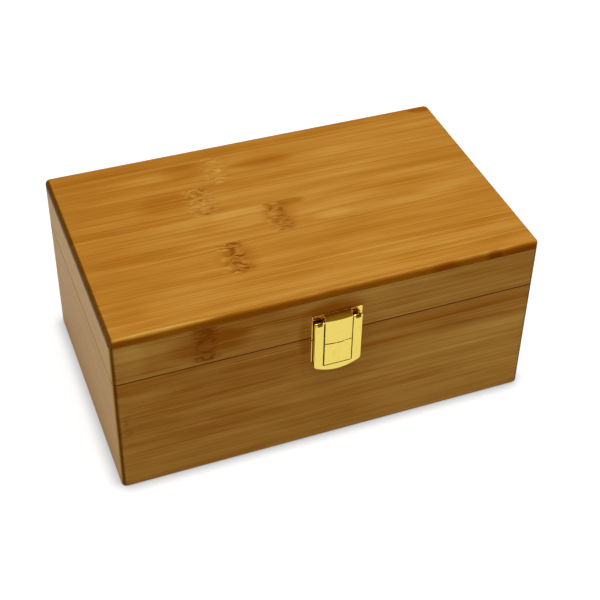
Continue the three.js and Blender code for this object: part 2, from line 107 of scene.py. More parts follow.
def lamp_power(name, watts, description):
    return bpy.props.FloatProperty(
        name=name, description=description, default=watts, min=0, subtype="POWER", unit="POWER"
    )


def colour(name, seen, description):
    return bpy.props.FloatVectorProperty(
        name=name,
        description=description,
        default=linear(*seen),
        size=3,
        min=0,
        max=1,
        subtype="COLOR",
    )


class BoxSizes(bpy.types.PropertyGroup):
    """Sizes of the boards, beyond those that the frame gives."""

    wall: length("Board Thickness", 8, "Thickness of the walls and the lid's rails")
    rabbet: length("Rabbet", 4, "Width of the step that holds the bottom panel")
    corner: length("Corner Rounding", 3, "Radius of the four upright corners")
    top_round: length("Top Round-Over", 2, "Radius along the upper edge of the lid board")
    foot_round: length("Foot Round-Over", 1.2, "Radius along the lower edge of the base")
    board_ease: length("Board Ease", 0.12, "Radius along the lower edge of the lid board")
    ease: length("Eased Edge", 0.22, "Radius of the sanded edges at the rims")
    glue_line: length("Glue Line", 0.1, "Gap between two boards that are glued together")
    strip: length("Strip Width", 24.9, "Width of the bamboo strips in the boards")


class LiningSizes(bpy.types.PropertyGroup):
    """Sizes of the padded linings."""

    edge: length("Lining Edge", 0.9, "Radius of the cloth where it turns over the card")
    crown: length("Crown", 0.25, "How far the middle of a lining stands over its edges")
    ripple: length("Ripple", 0.05, "Height of the cloth's slight unevenness")


class HingeSizes(bpy.types.PropertyGroup):
    """Sizes of the hinges' finer shapes."""

    ease: length("Hinge Ease", 0.12, "Rounding of the stamped hinge leaves")
    play: length("Leaf Play", 0.1, "Gap around a leaf in its recess")
    recess: length("Recess Depth", 1.1, "Depth of the recess for a leaf")
    pin_dome: length("Pin Dome", 0.3, "Rounding of the ends of the hinge pins")
    screw_head: length("Screw Head", 1.8, "Radius of the countersunk screw heads")
    screw_seat: length("Screw Seat", 0.8, "Depth of the countersunk screw heads")
    screw_rim: length("Screw Rim", 0.1, "Depth of the rim of the screw heads")
    screw_shank: length("Screw Shank", 0.9, "Radius of the screws below their heads")
    screw_length: length("Screw Length", 9, "Length of the screws")
    cross: length("Cross Recess", 0.45, "Width of the arms of the cross in the screw heads")
    cross_depth: length("Cross Depth", 0.45, "Depth of the cross in the screw heads")


class LatchSizes(bpy.types.PropertyGroup):
    """Sizes of the latch. Heights count from the parting line, distances from the wood's face."""

    offset: length("Offset", 1.4, "How far the latch stands to the right of the middle")
    width: length("Plate Width", 26.8, "Width of both plates")
    sheet: length("Sheet", 0.6, "Thickness of the sheet metal")
    top: length("Plate Top", 14.2, "Height of the lid plate's upper edge")
    foot: length("Plate Foot", 15.9, "Drop of the catch plate's lower edge")
    split: length("Plate Split", 1.3, "Drop of the line between the two plates")
    split_gap: length("Plate Gap", 0.6, "Width of that line")
    plate_corner: length("Plate Corner", 0.35, "Radius of the plates' corners")
    pin_height: length("Pin Height", 9.7, "Height of the pin's axis")
    pin_out: length("Pin Distance", 2.25, "Distance of the pin's axis from the wood")
    pin: length("Pin Radius", 0.5, "Radius of the pin")
    pin_dome: length("Latch Pin Dome", 0.2, "Rounding of the pin's ends")
    bore: length("Eye Bore", 0.6, "Radius of the hole that the pin turns in")
    tongue: length("Tongue Width", 14.5, "Width of the strap and the catch below it")
    tongue_out: length("Tongue Distance", 3.45, "Distance of the tongue's face from the wood")
    tongue_split: length("Tongue Split", 3.1, "Drop of the ends of the line across the tongue")
    tongue_bow: length("Split Bow", 0.75, "How far that line sags in its middle")
    tongue_gap: length("Split Gap", 0.5, "Width of that line")
    tongue_length: length("Catch Length", 13.97, "Height of the tongue's lower half")
    bend: length("Strap Bend", 0.9, "Radius of the strap's bend over the pin")
    bend_height: length("Bend Height", 11.1, "Height where the strap's slope and face meet")
    bend_dip: length("Bend Dip", 0.55, "How far the strap's bend sags in its middle")
    inner_bend: length("Inner Bend", 0.5, "Radius of the strap's inside over the pin")
    shoulder: length("Strap Shoulder", 0.7, "Drop of the strap's shoulder below the pin's axis")
    strap_root: length("Strap Root", 0.2, "Drop of the strap's root below the plate's upper edge")
    catch_root: length("Catch Root", 1.8, "Height of the web that joins the catch to its plate")
    hook_lip: length("Hook Lip", 1.2, "How far the catch's lower edge turns back")
    arm: length("Arm Width", 4.77, "Width of the frame's arms")
    play: length("Frame Play", 0.58, "Gap between the frame and the tongue")
    frame_out: length("Frame Distance", 3.2, "Distance of the frame's face from the wood")
    frame_back: length("Frame Back", 1.7, "Distance of the frame's back from the wood")
    hook_gap: length("Hook Gap", 0.7, "Gap between the catch and the frame's crossbar")
    corner_drop: length("Corner Drop", 0.17, "Drop of the frame's lower corners below its window")
    bow: length("Frame Bow", 3.65, "How far the frame's lower edge bows down")
    frame_corner: length("Frame Corner", 1.3, "Radius of the frame's lower corners")
    eye: length("Eye Radius", 1.1, "Radius of the frame's eyes at their ends")
    eye_crown: length("Eye Crown", 0.28, "How much fatter the eyes are in their middle")
    eye_round: length("Eye Rounding", 0.35, "Rounding of the ends of the eyes")
    eye_edge: length("Eye Edge", 0.1, "How far the middle of that rounding stands back")
    ease: length("Latch Ease", 0.16, "Rounding of the stamped edges")
    nail: length("Nail Head", 1.3, "Radius of the round nail heads")
    nail_dome: length("Nail Dome", 0.6, "Height of the round nail heads")
    nail_shank: length("Nail Shank", 0.55, "Radius of the nails below their heads")
    nail_tip: length("Nail Tip", 1.1, "Length of the nails' points")


class BoxColours(bpy.types.PropertyGroup):
    """Colours of the wood, the plating and the lining."""

    bamboo: colour("Bamboo", (185, 126, 45), "Middle colour of the lid board's bamboo")
    wall: colour("Wall Bamboo", (187, 131, 54), "Middle colour of the bamboo in the walls and rails")
    bamboo_light: colour("Light Fibres", (209, 160, 76), "Colour of the palest fibres")
    bamboo_dark: colour("Dark Fibres", (157, 89, 12), "Colour of the darkest fibres")
    # Also multiplied into the walls along the parting line as painted shade.
    node: colour("Node Marks", (132, 64, 4), "Colour of the brown marks at the bamboo's nodes")
    # Multiplied in as painted shade at the lid board's left end, and to darken the walls' upright corners.
    rim: colour("Dark Rims", (150, 140, 96), "Colour of the lacquer that gathers at the corners and the rims")
    # Multiplied into the lid board's colour along its front and back edges.
    edge_tint: colour("Stained Edge", (212, 182, 84), "Colour of the lid board's sealed edge")
    gold: colour("Gold Plating", (232, 208, 104), "Colour of the plated hinges and latch")
    # Painted shade and dark reflection on the latch: on the frame's eyes, and behind them on the lid plate.
    painted_shade: colour("Toned Metal", (86, 68, 4), "Colour of the plating in the middle of the frame's eyes")
    painted_pocket_shade: colour("Toned Pocket", (145, 84, 4), "Colour of the plating behind the frame's eyes")
    velvet: colour("Velvet", (235, 219, 187), "Colour of the lining's pile")
    gloss: amount("Lacquer Roughness", 0.3, "Roughness of the lacquer over the wood")


class StageSettings(bpy.types.PropertyGroup):
    """The camera, the lamps and the floor."""

    azimuth: angle("Azimuth", -22.390612, "Turn of the camera to the left of straight in front")
    elevation: angle("Elevation", 38.988467, "How steeply the camera looks down")
    roll: angle("Roll", 1.741095, "Turn of the camera about its own line of sight")
    place: bpy.props.FloatVectorProperty(
        name="Camera Place",
        description="Where the camera stands",
        default=(-0.1928037, -0.5110073, 0.5106733),
        size=3,
        subtype="TRANSLATION",
        unit="LENGTH",
    )
    lens: bpy.props.FloatProperty(
        name="Focal Length",
        description="Focal length of the camera in millimetres",
        default=78.57552,
        min=1,
        unit="CAMERA",
    )
    shift: bpy.props.FloatVectorProperty(
        name="Shift",
        description="Shift of the picture against the lens, as a share of its width",
        default=(-0.02725, -0.0733067),
        size=2,
        precision=5,
    )
    key: lamp_power("Overhead Lamp", 12.7, "Power of the large lamp overhead")
    left: lamp_power("Left Lamp", 2.8, "Power of the tall lamp at the left")
    right: lamp_power("Right Lamp", 1.4, "Power of the tall lamp at the right")
    room: amount("Room Light", 0.1, "Light that comes from the room all round")
    ceiling: colour("Ceiling", (140, 104, 50), "Colour of the room overhead in reflections")
    contact: length("Contact Shadow", 7.5, "Width of the dark line where the box meets the floor")
    floor: amount("Floor Shadow", 0.35, "Share of the floor's brightness that shadows take away")


GROUPS = {
    "box_sizes": BoxSizes,
    "box_lining": LiningSizes,
    "box_hinges": HingeSizes,
    "box_latch": LatchSizes,
    "box_colours": BoxColours,
    "box_stage": StageSettings,
}


# ---------------------------------------------------------------- shader maths


class Value:
    """A number that a node gives. Python's operators on it add Math nodes."""

    def __init__(self, nodes, socket):
        self.nodes = nodes
        self.socket = socket

    def math(self, operation, *others, clamp=False):
        return self.nodes.math(operation, self, *others, clamp=clamp)

    def __add__(self, other):
        return self.math("ADD", other)

    def __radd__(self, other):
        return self.nodes.math("ADD", other, self)

    def __sub__(self, other):
        return self.math("SUBTRACT", other)

    def __rsub__(self, other):
        return self.nodes.math("SUBTRACT", other, self)

    def __mul__(self, other):
        return self.math("MULTIPLY", other)

    def __truediv__(self, other):
        return self.math("DIVIDE", other)

    def __neg__(self):
        return self.math("MULTIPLY", -1)

    def __abs__(self):
        return self.math("ABSOLUTE")

    def smooth(self, low, high):
        """0 below low, 1 above high and a smooth rise between them. It falls where high is below low."""
        settings = {"interpolation_type": "SMOOTHSTEP"}
        return self.nodes.node("ShaderNodeMapRange", settings, {0: self, 1: low, 2: high})


class Nodes:
    """The nodes of one material or of the world."""

    def __init__(self, tree):
        self.tree = tree
        tree.nodes.clear()

    def node(self, kind, settings, values, output=0):
        """Adds a node with its settings and the values or links of its sockets, and gives one output."""
        made = self.tree.nodes.new(kind)
        for name, setting in settings.items():
            if name == "stops":
                self.set_stops(made.color_ramp.elements, setting)
            else:
                setattr(made, name, setting)
        for name, value in values.items():
            if isinstance(value, Value):
                self.tree.links.new(value.socket, made.inputs[name])
            else:
                made.inputs[name].default_value = value
        return Value(self, made.outputs[output]) if len(made.outputs) else made

    @staticmethod
    def set_stops(elements, stops):
        while len(elements) < len(stops):
            elements.new(0.5)
        for element, (place, shade) in zip(elements, stops):
            element.position = place
            element.color = (*shade, 1)

    def math(self, operation, *values, clamp=False):
        settings = {"operation": operation, "use_clamp": clamp}
        return self.node("ShaderNodeMath", settings, dict(enumerate(values)))

    def noise(self, x, y, z, detail=2, roughness=0.5, distortion=0):
        vector = self.node("ShaderNodeCombineXYZ", {}, {0: x, 1: y, 2: z})
        values = {
            "Vector": vector,
            "Scale": 1,
            "Detail": detail,
            "Roughness": roughness,
            "Distortion": distortion,
        }
        return self.node("ShaderNodeTexNoise", {}, values)

    def random(self, value):
        """A number from 0 to 1 that is the same wherever the value is the same."""
        return self.node("ShaderNodeTexWhiteNoise", {"noise_dimensions": "1D"}, {"W": value})

    def mix(self, share, first, second, blend="MIX"):
        """Two colours mixed."""
        settings = {"data_type": "RGBA", "blend_type": blend}
        return self.node("ShaderNodeMix", settings, {0: share, 6: first, 7: second}, output=2)

    def ramp(self, value, stops):
        return self.node("ShaderNodeValToRGB", {"stops": stops}, {0: value})

    def place(self):
        """The object's own X, Y and Z in millimetres."""
        place = self.node("ShaderNodeTexCoord", {}, {}, output="Object")
        parts = self.node("ShaderNodeSeparateXYZ", {}, {0: place})
        outputs = parts.socket.node.outputs
        return {axis: Value(self, outputs[axis.upper()]) / MM for axis in "xyz"}

    def bump(self, height, distance, strength=1):
        values = {"Strength": strength, "Distance": distance, "Height": height}
        return self.node("ShaderNodeBump", {}, values)


def new_material(name):
    material = bpy.data.materials.new(name)
    material.use_nodes = True
    return material, Nodes(material.node_tree)


def surface(nodes, values):
    """Ends a material with a Principled shader that has these values and links."""
    shader = nodes.node("ShaderNodeBsdfPrincipled", {}, values)
    nodes.node("ShaderNodeOutputMaterial", {}, {"Surface": shader})


def opaque(shade):
    return (*shade, 1)


# ---------------------------------------------------------------- finishes

# Each node mark: its middle along and across the strip and half its size both ways, in millimetres,
# then how dark its brown bands and how bright its pale bands are.
TOP_MARKS = (
    (-22.5, 45.5, 7, 13, 0.12, 0.8),
    (-39, 21, 8, 12.5, 0.55, 0.75),
    (-6, -3.5, 7.5, 13, 0.8, 0.45),
    (-37.5, -29, 7.5, 12.5, 1.05, 0.65),
)
LID_FRONT_MARKS = ((-67.5, 84, 8, 11, 1.5, 0),)
FRONT_MARKS = ((-109, 41, 3, 12, 0.45, 0.1),)
RIGHT_MARKS = ((22, 34, 8, 12.5, 0.9, 0.5),)
BACK_MARKS = ((48, 34, 8, 12.5, 1.0, 0.5), (-70, 58, 8, 12.5, 0.7, 0.7))
PANEL_MARKS = ((30, 16, 8, 12.5, 0.9, 0.6), (-55, -33, 8, 12.5, 0.8, 0.7))

# Each soft patch: its middle and half its size as above, then how much darker it is, or paler below 0.
TOP_PATCHES = (
    (-40, 50, 13, 6, 0.2),
    (3, 46, 16, 5, 0.2),
    (-56, 25, 17, 8, 0.22),
    (4, 6, 8, 3, 0.32),
    (107, 66, 8, 4, 0.4),
    (87, -69.4, 4.5, 2.6, 0.42),
    (60, -69, 8, 2, 0.25),
    (103, -69, 12, 2.4, 0.25),
    # Painted highlight along the lid board's front arris near its left corner.
    (-88, -67.6, 26, 0.8, -0.6),
    (-100, 10, 38, 55, 0.09),
    (-85, -13, 30, 4, 0.14),
    (-5, -3, 9, 12, 0.14),
    (-37, -30, 10, 11, 0.18),
    (22, -11, 11, 3.5, -0.16),
    (-26, 0, 15, 9, -0.14),
    (88, -8, 18, 4, -0.07),
    (-102, -52, 12, 8, 0.08),
)
# These lie on the base's front and on the lid's, which share their heights.
FRONT_PATCHES = (
    (-64, 84, 20, 9, 0.34),
    # Painted highlight near the lid front's left corner.
    (-103, 84, 8, 11, -0.14),
    (34, 90, 28, 5, -0.16),
    # Painted shadow above the latch's lid plate.
    (1, 88.5, 15, 5, 0.36),
    # Painted shadow beside the latch's left edge.
    (-15, 74, 3.5, 12, 0.2),
    (-52, 33, 14, 2.5, 0.14),
    (-95, 58, 12, 3, -0.1),
    (70, 45, 40, 9, -0.08),
    (95, 35, 30, 30, -0.1),
    (-70, 35, 40, 36, 0.08),
    (-38, 84, 26, 10, 0.18),
    (80, 64, 40, 6, 0.1),
)

# How pale the wood is from one place across the strips to the next: 0.5 is the middle colour.
TOP_TONES = ((-68, 0.56), (-44, 0.58), (-39, 0.47), (-18, 0.47), (-12, 0.49), (10, 0.52), (35, 0.5), (68, 0.47))
# The base's front is darker towards the bottom.
FRONT_TONES = ((0, 0.38), (8, 0.48), (14, 0.45), (23, 0.5), (35, 0.54), (50, 0.57), (57, 0.5), (67, 0.47), (72, 0.48))
LID_FRONT_TONES = ((71, 0.47), (80, 0.48), (90, 0.5), (99, 0.46))
# Painted sheen: the left side is paler than the others, and palest on the lid.
LEFT_SHEEN_TONES = ((0, 0.72), (66, 0.745), (76, 0.86), (100, 0.88))


def board_edges(nodes, place, shade, colours):
    """The lid board's colour, darker along its front and back edges, with painted shade at its left end."""
    half = WIDTH / 2 / MM
    from_end = abs(place["x"]) - half
    from_front = abs(place["y"]) - DEPTH / 2 / MM
    # The front and back edges are made darker, with an uneven border.
    uneven_border = (nodes.noise(place["x"] / 12, place["y"] / 5, 3.3, detail=3, roughness=0.6) - 0.5) * 1.2
    darker_edges = (from_front + uneven_border).smooth(-1.5, -0.1).math("MAXIMUM", from_end.smooth(-0.7, -0.1))
    # Painted shade on the lid board's rounded left end.
    left_end_painted_shade = (-place["x"] - half).smooth(-2.6, -1.5)
    shade = nodes.mix(darker_edges * (1 - left_end_painted_shade), shade, opaque(colours.edge_tint), blend="MULTIPLY")
    return nodes.mix(left_end_painted_shade, shade, opaque(colours.rim), blend="MULTIPLY")


def wall_edges(nodes, place, shade, colours):
    """A wall's colour, darker on the outside at the upright corners, with painted shade along the parting line."""
    from_end = abs(place["x"]) - WIDTH / 2 / MM
    from_front = abs(place["y"]) - DEPTH / 2 / MM
    corner = from_end.smooth(-2.6, -1.2) * from_front.smooth(-2, -0.9)
    outside = from_end.math("MAXIMUM", from_front).smooth(-0.35, -0.1)
    # Painted shade in the groove where the base's walls meet the lid's rails.
    rim = abs(place["z"] - PARTING / MM).smooth(0.5, 0.25) * outside
    shade = nodes.mix(corner, shade, opaque(colours.rim), blend="MULTIPLY")
    return nodes.mix(rim * 0.75, shade, opaque(colours.node), blend="MULTIPLY")


def bamboo(name, along, across, strip_edge, seed, marks=(), patches=(), tones=(), contrast=1.3, lid_board=False):
    """Lacquered bamboo strips that run along one axis and lie side by side across another."""
    sizes = bpy.context.scene.box_sizes
    colours = bpy.context.scene.box_colours
    material, nodes = new_material(name)
    place = nodes.place()
    a = place[along]
    c = place[across]
    d = place[({"x", "y", "z"} - {along, across}).pop()]
    position = (c - strip_edge) / (sizes.strip / MM) + seed
    strip = position.math("FLOOR")
    inside = position - strip
    tone = nodes.random(strip)

    # At a node the fibres swirl, with brown bands in the middle and pale ones beside them.
    feather = (nodes.noise(a / 5, c / 1.4, strip * 6.3, detail=1) - 0.5) * 9
    brown = 0
    pale = 0
    for middle, height, half_length, half_width, dark, light in marks:
        beside = a + feather - middle
        level = (abs(c - height) / half_width).smooth(1.02, 0.9)
        brown = brown + (abs(beside - 1.2) / half_length).smooth(1.1, 0) * level * dark
        pale = pale + (abs(beside + 2) / (half_length * 1.2)).smooth(1.1, 0) * level * light
    fibre_place = c + (nodes.noise(a / 90, c / 16, strip, detail=1) - 0.5) * 1.3
    if marks:
        swirl = nodes.noise(a / 7, c / 6, strip * 2.9, detail=1) - 0.5
        fibre_place = fibre_place + (brown + pale).math("MINIMUM", 1) * swirl * 9

    fibres = nodes.noise(a / 55, fibre_place / 0.42, d / 1.5 + strip * 7.3, detail=3, roughness=0.6)
    threads = nodes.noise(a / 100, fibre_place / 1.1, strip * 3.1, detail=2)
    streaks = nodes.noise(a / 150, fibre_place / 3, strip * 5.7, detail=2)
    mottle = nodes.noise(a / 55, c / 9, strip * 9.7 + d / 20, detail=2)
    lines = nodes.noise(a / 120, fibre_place / 0.8, strip * 8.9, detail=1)
    dashes = nodes.noise(a / 3.2, fibre_place / 0.3, strip * 2.3 + d, detail=1).smooth(0.66, 0.8)
    seam = abs(inside - 0.5).smooth(0.487, 0.5)
    grain = (
        (fibres - 0.5) * 0.24
        + (threads - 0.5) * 0.28
        + (streaks - 0.5) * 0.4
        + (mottle - 0.5) * 0.5
        + (tone - 0.5) * 0.18
        - lines.smooth(0.56, 0.72) * streaks * 0.28
        + (1 - lines).smooth(0.58, 0.74) * streaks * 0.2
    )
    value = 0.5 + grain * contrast - dashes * 0.06 - seam * 0.12
    if tones:
        low, high = tones[0][0], tones[-1][0]
        stops = [((at - low) / (high - low), (grey,) * 3) for at, grey in tones]
        value = value + (nodes.ramp((c - low) / (high - low), stops) - 0.5) * 0.9
    for middle, height, half_length, half_width, dark in patches:
        from_middle = ((a - middle) / half_length).math("POWER", 2)
        from_height = ((c - height) / half_width).math("POWER", 2)
        near = (from_middle + from_height).smooth(1.7, 0)
        value = value - near * (0.35 + (streaks + threads) * 0.65) * dark
    shade = nodes.ramp(
        value,
        [
            (0.12, tuple(colours.bamboo_dark)),
            (0.5, tuple(colours.bamboo if lid_board else colours.wall)),
            (0.88, tuple(colours.bamboo_light)),
        ],
    )
    if marks:
        ragged = nodes.noise(a / 5.2, fibre_place / 1.9, strip * 4.1, detail=1.5, distortion=0.25)
        pale_bands = ((1 - ragged).smooth(0.42, 0.7) * pale).math("MINIMUM", 0.8)
        dark_bands = ((ragged.smooth(0.4, 0.7) * 0.8 + 0.2) * brown).math("MINIMUM", 0.85)
        shade = nodes.mix(pale_bands, shade, opaque(colours.bamboo_light))
        shade = nodes.mix(dark_bands, shade, opaque(colours.node))
    darkened = board_edges if lid_board else wall_edges
    surface(
        nodes,
        {
            "Base Color": darkened(nodes, place, shade, colours),
            "Roughness": colours.gloss + (mottle - 0.5) * 0.12 + (fibres - 0.5) * 0.1,
            "IOR": 1.06,
            "Normal": nodes.bump(fibres * 0.6 + threads * 0.4 - seam * 0.5 - dashes * 0.3, 0.06 * MM, 0.5),
        },
    )
    return material


def gold_plating(name, painted_shade_place=None):
    """Gold-coloured plating on stamped metal: polished, with a faint grain and a few dull spots.
    It can carry painted shade and dark reflection: olive on the frame's eyes, brown behind them, on the strap's slope
    and along the plate's upper edge."""
    colours = bpy.context.scene.box_colours
    material, nodes = new_material(name)
    place = nodes.place()
    grain = nodes.noise(place["x"] / 0.9, place["y"] / 0.3, place["z"] / 0.12, detail=3)
    waves = nodes.noise(place["x"] / 6, place["y"] / 6, place["z"] / 6, detail=1)
    dull = nodes.noise(place["x"] / 2.2, place["y"] / 2.2, place["z"] / 2.2, detail=4, roughness=0.7)
    dulled = tuple(channel * share for channel, share in zip(colours.gold, (0.9, 0.84, 0.62)))
    shade = nodes.mix(dull.smooth(0.5, 0.75) * 0.55, opaque(colours.gold), opaque(dulled))
    if painted_shade_place:
        latch = bpy.context.scene.box_latch
        out = -place["y"] - DEPTH / 2 / MM
        height = place["z"] - (PARTING + latch.pin_height) / MM
        beside = place["x"] - latch.offset / MM
        # Painted dark reflection over the middle of the frame's eyes, whose ends stay bright.
        if painted_shade_place == "eyes":
            from_eye = abs(beside) - (latch.tongue / 2 + latch.play + latch.arm / 2) / MM
            proud = (out - latch.frame_out / MM).smooth(0.02, 0.14)
            upper = height.smooth(-0.3, 0) * out.smooth(1.35, 1.75)
            painted_shade = proud.math("MAXIMUM", upper) * abs(from_eye).smooth(1.8, 1.05) * 0.96
            painted_shade_colour = colours.painted_shade
        else:
            # Painted shade and dark reflection in the pocket behind the eyes, on the strap's slope and along the
            # plate's upper edge.
            painted_pocket_shade = out.smooth(0.85, 0.75) * height.smooth(-2.2, -0.8) * height.smooth(4.5, 4.25)
            painted_pocket_shade = painted_pocket_shade * abs(beside).smooth(7.2, 7.4) * abs(beside + 1.2).smooth(12.2, 11.7)
            slope = height.smooth(1.6, 4.6) * abs(beside).smooth(7.6, 7.3)
            rim = height.smooth(4.2, 4.45) * beside.smooth(10.5, 9.5) * 0.85
            painted_shade = painted_pocket_shade.math("MAXIMUM", slope).math("MAXIMUM", rim)
            painted_shade_colour = colours.painted_pocket_shade
        shade = nodes.mix(painted_shade, shade, opaque(painted_shade_colour))
    surface(
        nodes,
        {
            "Base Color": shade,
            "Metallic": 1.0,
            "Roughness": 0.13 + dull.smooth(0.45, 0.8) * 0.1 + (grain - 0.5) * 0.05,
            "Normal": nodes.bump(waves * 0.8 + grain * 0.08, 0.05 * MM, 0.35),
        },
    )
    return material


def velvet():
    """Short cream pile that lies in slightly different directions."""
    colours = bpy.context.scene.box_colours
    material, nodes = new_material("cream_velvet")
    place = nodes.place()
    pile = nodes.noise(place["x"] / 0.35, place["y"] / 0.35, place["z"] / 0.35, detail=3, roughness=0.7)
    lay = nodes.noise(place["x"] / 28, place["y"] / 18, place["z"] / 22, detail=3, distortion=0.8)
    tufts = nodes.noise(place["x"] / 1.8, place["y"] / 1.8, place["z"] / 1.8, detail=2)
    shadow = tuple(channel * share for channel, share in zip(colours.velvet, (0.7, 0.64, 0.54)))
    depth = (0.5 + (pile - 0.5) * 0.9 + (lay - 0.5) * 0.8 + (tufts - 0.5) * 0.3).smooth(0.15, 0.75)
    shade = nodes.mix(depth, opaque(shadow), opaque(colours.velvet))
    surface(
        nodes,
        {
            "Base Color": shade,
            "Roughness": 0.92,
            "Specular IOR Level": 0.2,
            "Sheen Weight": 0.5,
            "Sheen Roughness": 0.45,
            "Normal": nodes.bump(pile + tufts * 0.6, 0.25 * MM, 0.7),
        },
    )
    return material


FINISHES = {
    "top": lambda: bamboo("bamboo_lid_board", "x", "y", 8.6, 31, TOP_MARKS, TOP_PATCHES, TOP_TONES, 1.0, True),
    "lid_front": lambda: bamboo(
        "bamboo_lid_front", "x", "z", 71.6, 7, LID_FRONT_MARKS, FRONT_PATCHES, LID_FRONT_TONES
    ),
    "front": lambda: bamboo("bamboo_front", "x", "z", 21.6, 11, FRONT_MARKS, FRONT_PATCHES, FRONT_TONES),
    "left": lambda: bamboo("bamboo_left", "y", "z", 21.6, 47, tones=LEFT_SHEEN_TONES, contrast=0.6),
    "right": lambda: bamboo("bamboo_right", "y", "z", 21.6, 61, RIGHT_MARKS),
    "back": lambda: bamboo("bamboo_back", "x", "z", 21.6, 83, BACK_MARKS),
    "panel": lambda: bamboo("bamboo_panel", "x", "y", 3.6, 97, PANEL_MARKS),
    "gold": lambda: gold_plating("gold_plating"),
    "gold_frame_painted_shade": lambda: gold_plating("gold_plating_frame_painted_shade", "eyes"),
    "gold_strap_painted_shade": lambda: gold_plating("gold_plating_strap_painted_shade", "painted_pocket_shade"),
    "velvet": velvet,
}
made_finishes = {}


def finish(name):
    """A finish by name, made when it is first asked for."""
    if name not in made_finishes:
        made_finishes[name] = FINISHES[name]()
    return made_finishes[name]


# ---------------------------------------------------------------- shaping


def block(low, high):
    """A rectangular solid between two opposite corners."""
    bm = bmesh.new()
    bmesh.ops.create_cube(bm, size=1)
    bmesh.ops.scale(bm, vec=Vector(high) - Vector(low), verts=bm.verts)
    bmesh.ops.translate(bm, vec=(Vector(high) + Vector(low)) / 2, verts=bm.verts)
    return bm


def round_edges(bm, edges, radius, segments):
    if not edges:
        raise RuntimeError("No edges were found to round")
    bmesh.ops.bevel(
        bm,
        geom=edges,
        offset=radius,
        offset_type="OFFSET",
        segments=segments,
        profile=0.5,
        affect="EDGES",
        clamp_overlap=True,
        material=-1,
    )


def edges_where(bm, test):
    """The edges whose two ends both pass a test of their place."""
    return [edge for edge in bm.edges if all(test(vert.co) for vert in edge.verts)]


def sharp_edges(bm, least=40):
    """The edges that turn by at least so many degrees."""
    limit = math.radians(least)
    return [edge for edge in bm.edges if len(edge.link_faces) == 2 and edge.calc_face_angle() > limit]


def rim_edges(bm, z):
    """The edges around the level end of a solid at one height."""
    level = edges_where(bm, lambda place: abs(place.z - z) < NEAR)
    return [edge for edge in level if edge.calc_face_angle(0) > math.radians(40)]


def cut_away(bm, point, direction):
    """Cuts a solid by a plane, removes what lies on the side of the direction and closes the cut."""
    everything = bm.verts[:] + bm.edges[:] + bm.faces[:]
    cut = bmesh.ops.bisect_plane(bm, geom=everything, plane_co=point, plane_no=direction, clear_outer=True)
    edges = [part for part in cut["geom_cut"] if isinstance(part, bmesh.types.BMEdge)]
    bmesh.ops.edgeloop_fill(bm, edges=edges)


def slice_along_x(bm, places):
    """Adds an edge around a solid at each place along X."""
    for place in places:
        everything = bm.verts[:] + bm.edges[:] + bm.faces[:]
        bmesh.ops.bisect_plane(bm, geom=everything, plane_co=(place, 0, 0), plane_no=(1, 0, 0))


def scratch_object(bm):
    mesh = bpy.data.meshes.new("scratch")
    bm.to_mesh(mesh)
    bm.free()
    made = bpy.data.objects.new("scratch", mesh)
    bpy.context.scene.collection.objects.link(made)
    return made


def combined(bm, others, operation):
    """A solid with others cut from it (DIFFERENCE) or joined to it (UNION)."""
    body = scratch_object(bm)
    tools = [scratch_object(other) for other in others]
    for tool in tools:
        step = body.modifiers.new("combine", "BOOLEAN")
        step.operation = operation
        step.solver = "EXACT"
        step.object = tool
    shaped = body.evaluated_get(bpy.context.evaluated_depsgraph_get())
    result = bmesh.new()
    result.from_mesh(shaped.to_mesh())
    shaped.to_mesh_clear()
    for made in [body, *tools]:
        mesh = made.data
        bpy.data.objects.remove(made)
        bpy.data.meshes.remove(mesh)
    bmesh.ops.remove_doubles(result, verts=result.verts, dist=NEAR / 10)
    return result


def prism(outline, half):
    """An outline of points in the plane of Y and Z, drawn out along X to both sides of the middle."""
    bm = bmesh.new()
    corners = [bm.verts.new((-half, y, z)) for y, z in outline]
    drawn = bmesh.ops.extrude_face_region(bm, geom=[bm.faces.new(corners)])["geom"]
    moved = [part for part in drawn if isinstance(part, bmesh.types.BMVert)]
    bmesh.ops.translate(bm, vec=(2 * half, 0, 0), verts=moved)
    bmesh.ops.recalc_face_normals(bm, faces=bm.faces)
    return bm


def turned(profile, axis, steps):
    """A profile of radii and places along an axis through the origin, turned about it into a solid."""
    bm = bmesh.new()
    along = Vector(axis)
    out = Vector((0, 0, 1)) if abs(along.z) < 0.5 else Vector((1, 0, 0))
    corners = [bm.verts.new(out * radius + along * place) for radius, place in profile]
    edges = [bm.edges.new(pair) for pair in zip(corners, corners[1:])]
    bmesh.ops.spin(
        bm,
        geom=corners + edges,
        cent=(0, 0, 0),
        axis=along,
        angle=math.tau,
        steps=steps,
        use_merge=True,
    )
    bmesh.ops.remove_doubles(bm, verts=bm.verts, dist=NEAR / 10)
    bmesh.ops.recalc_face_normals(bm, faces=bm.faces)
    return bm


def rod(radius, left, right, y, z, dome=0):
    """A rod along X, with its ends rounded by a dome."""
    profile = [(0, left), (radius - dome, left), (radius, left + dome), (radius, right - dome)]
    bm = turned([*profile, (radius - dome, right), (0, right)], (1, 0, 0), 40)
    bmesh.ops.translate(bm, vec=(0, y, z), verts=bm.verts)
    return bm


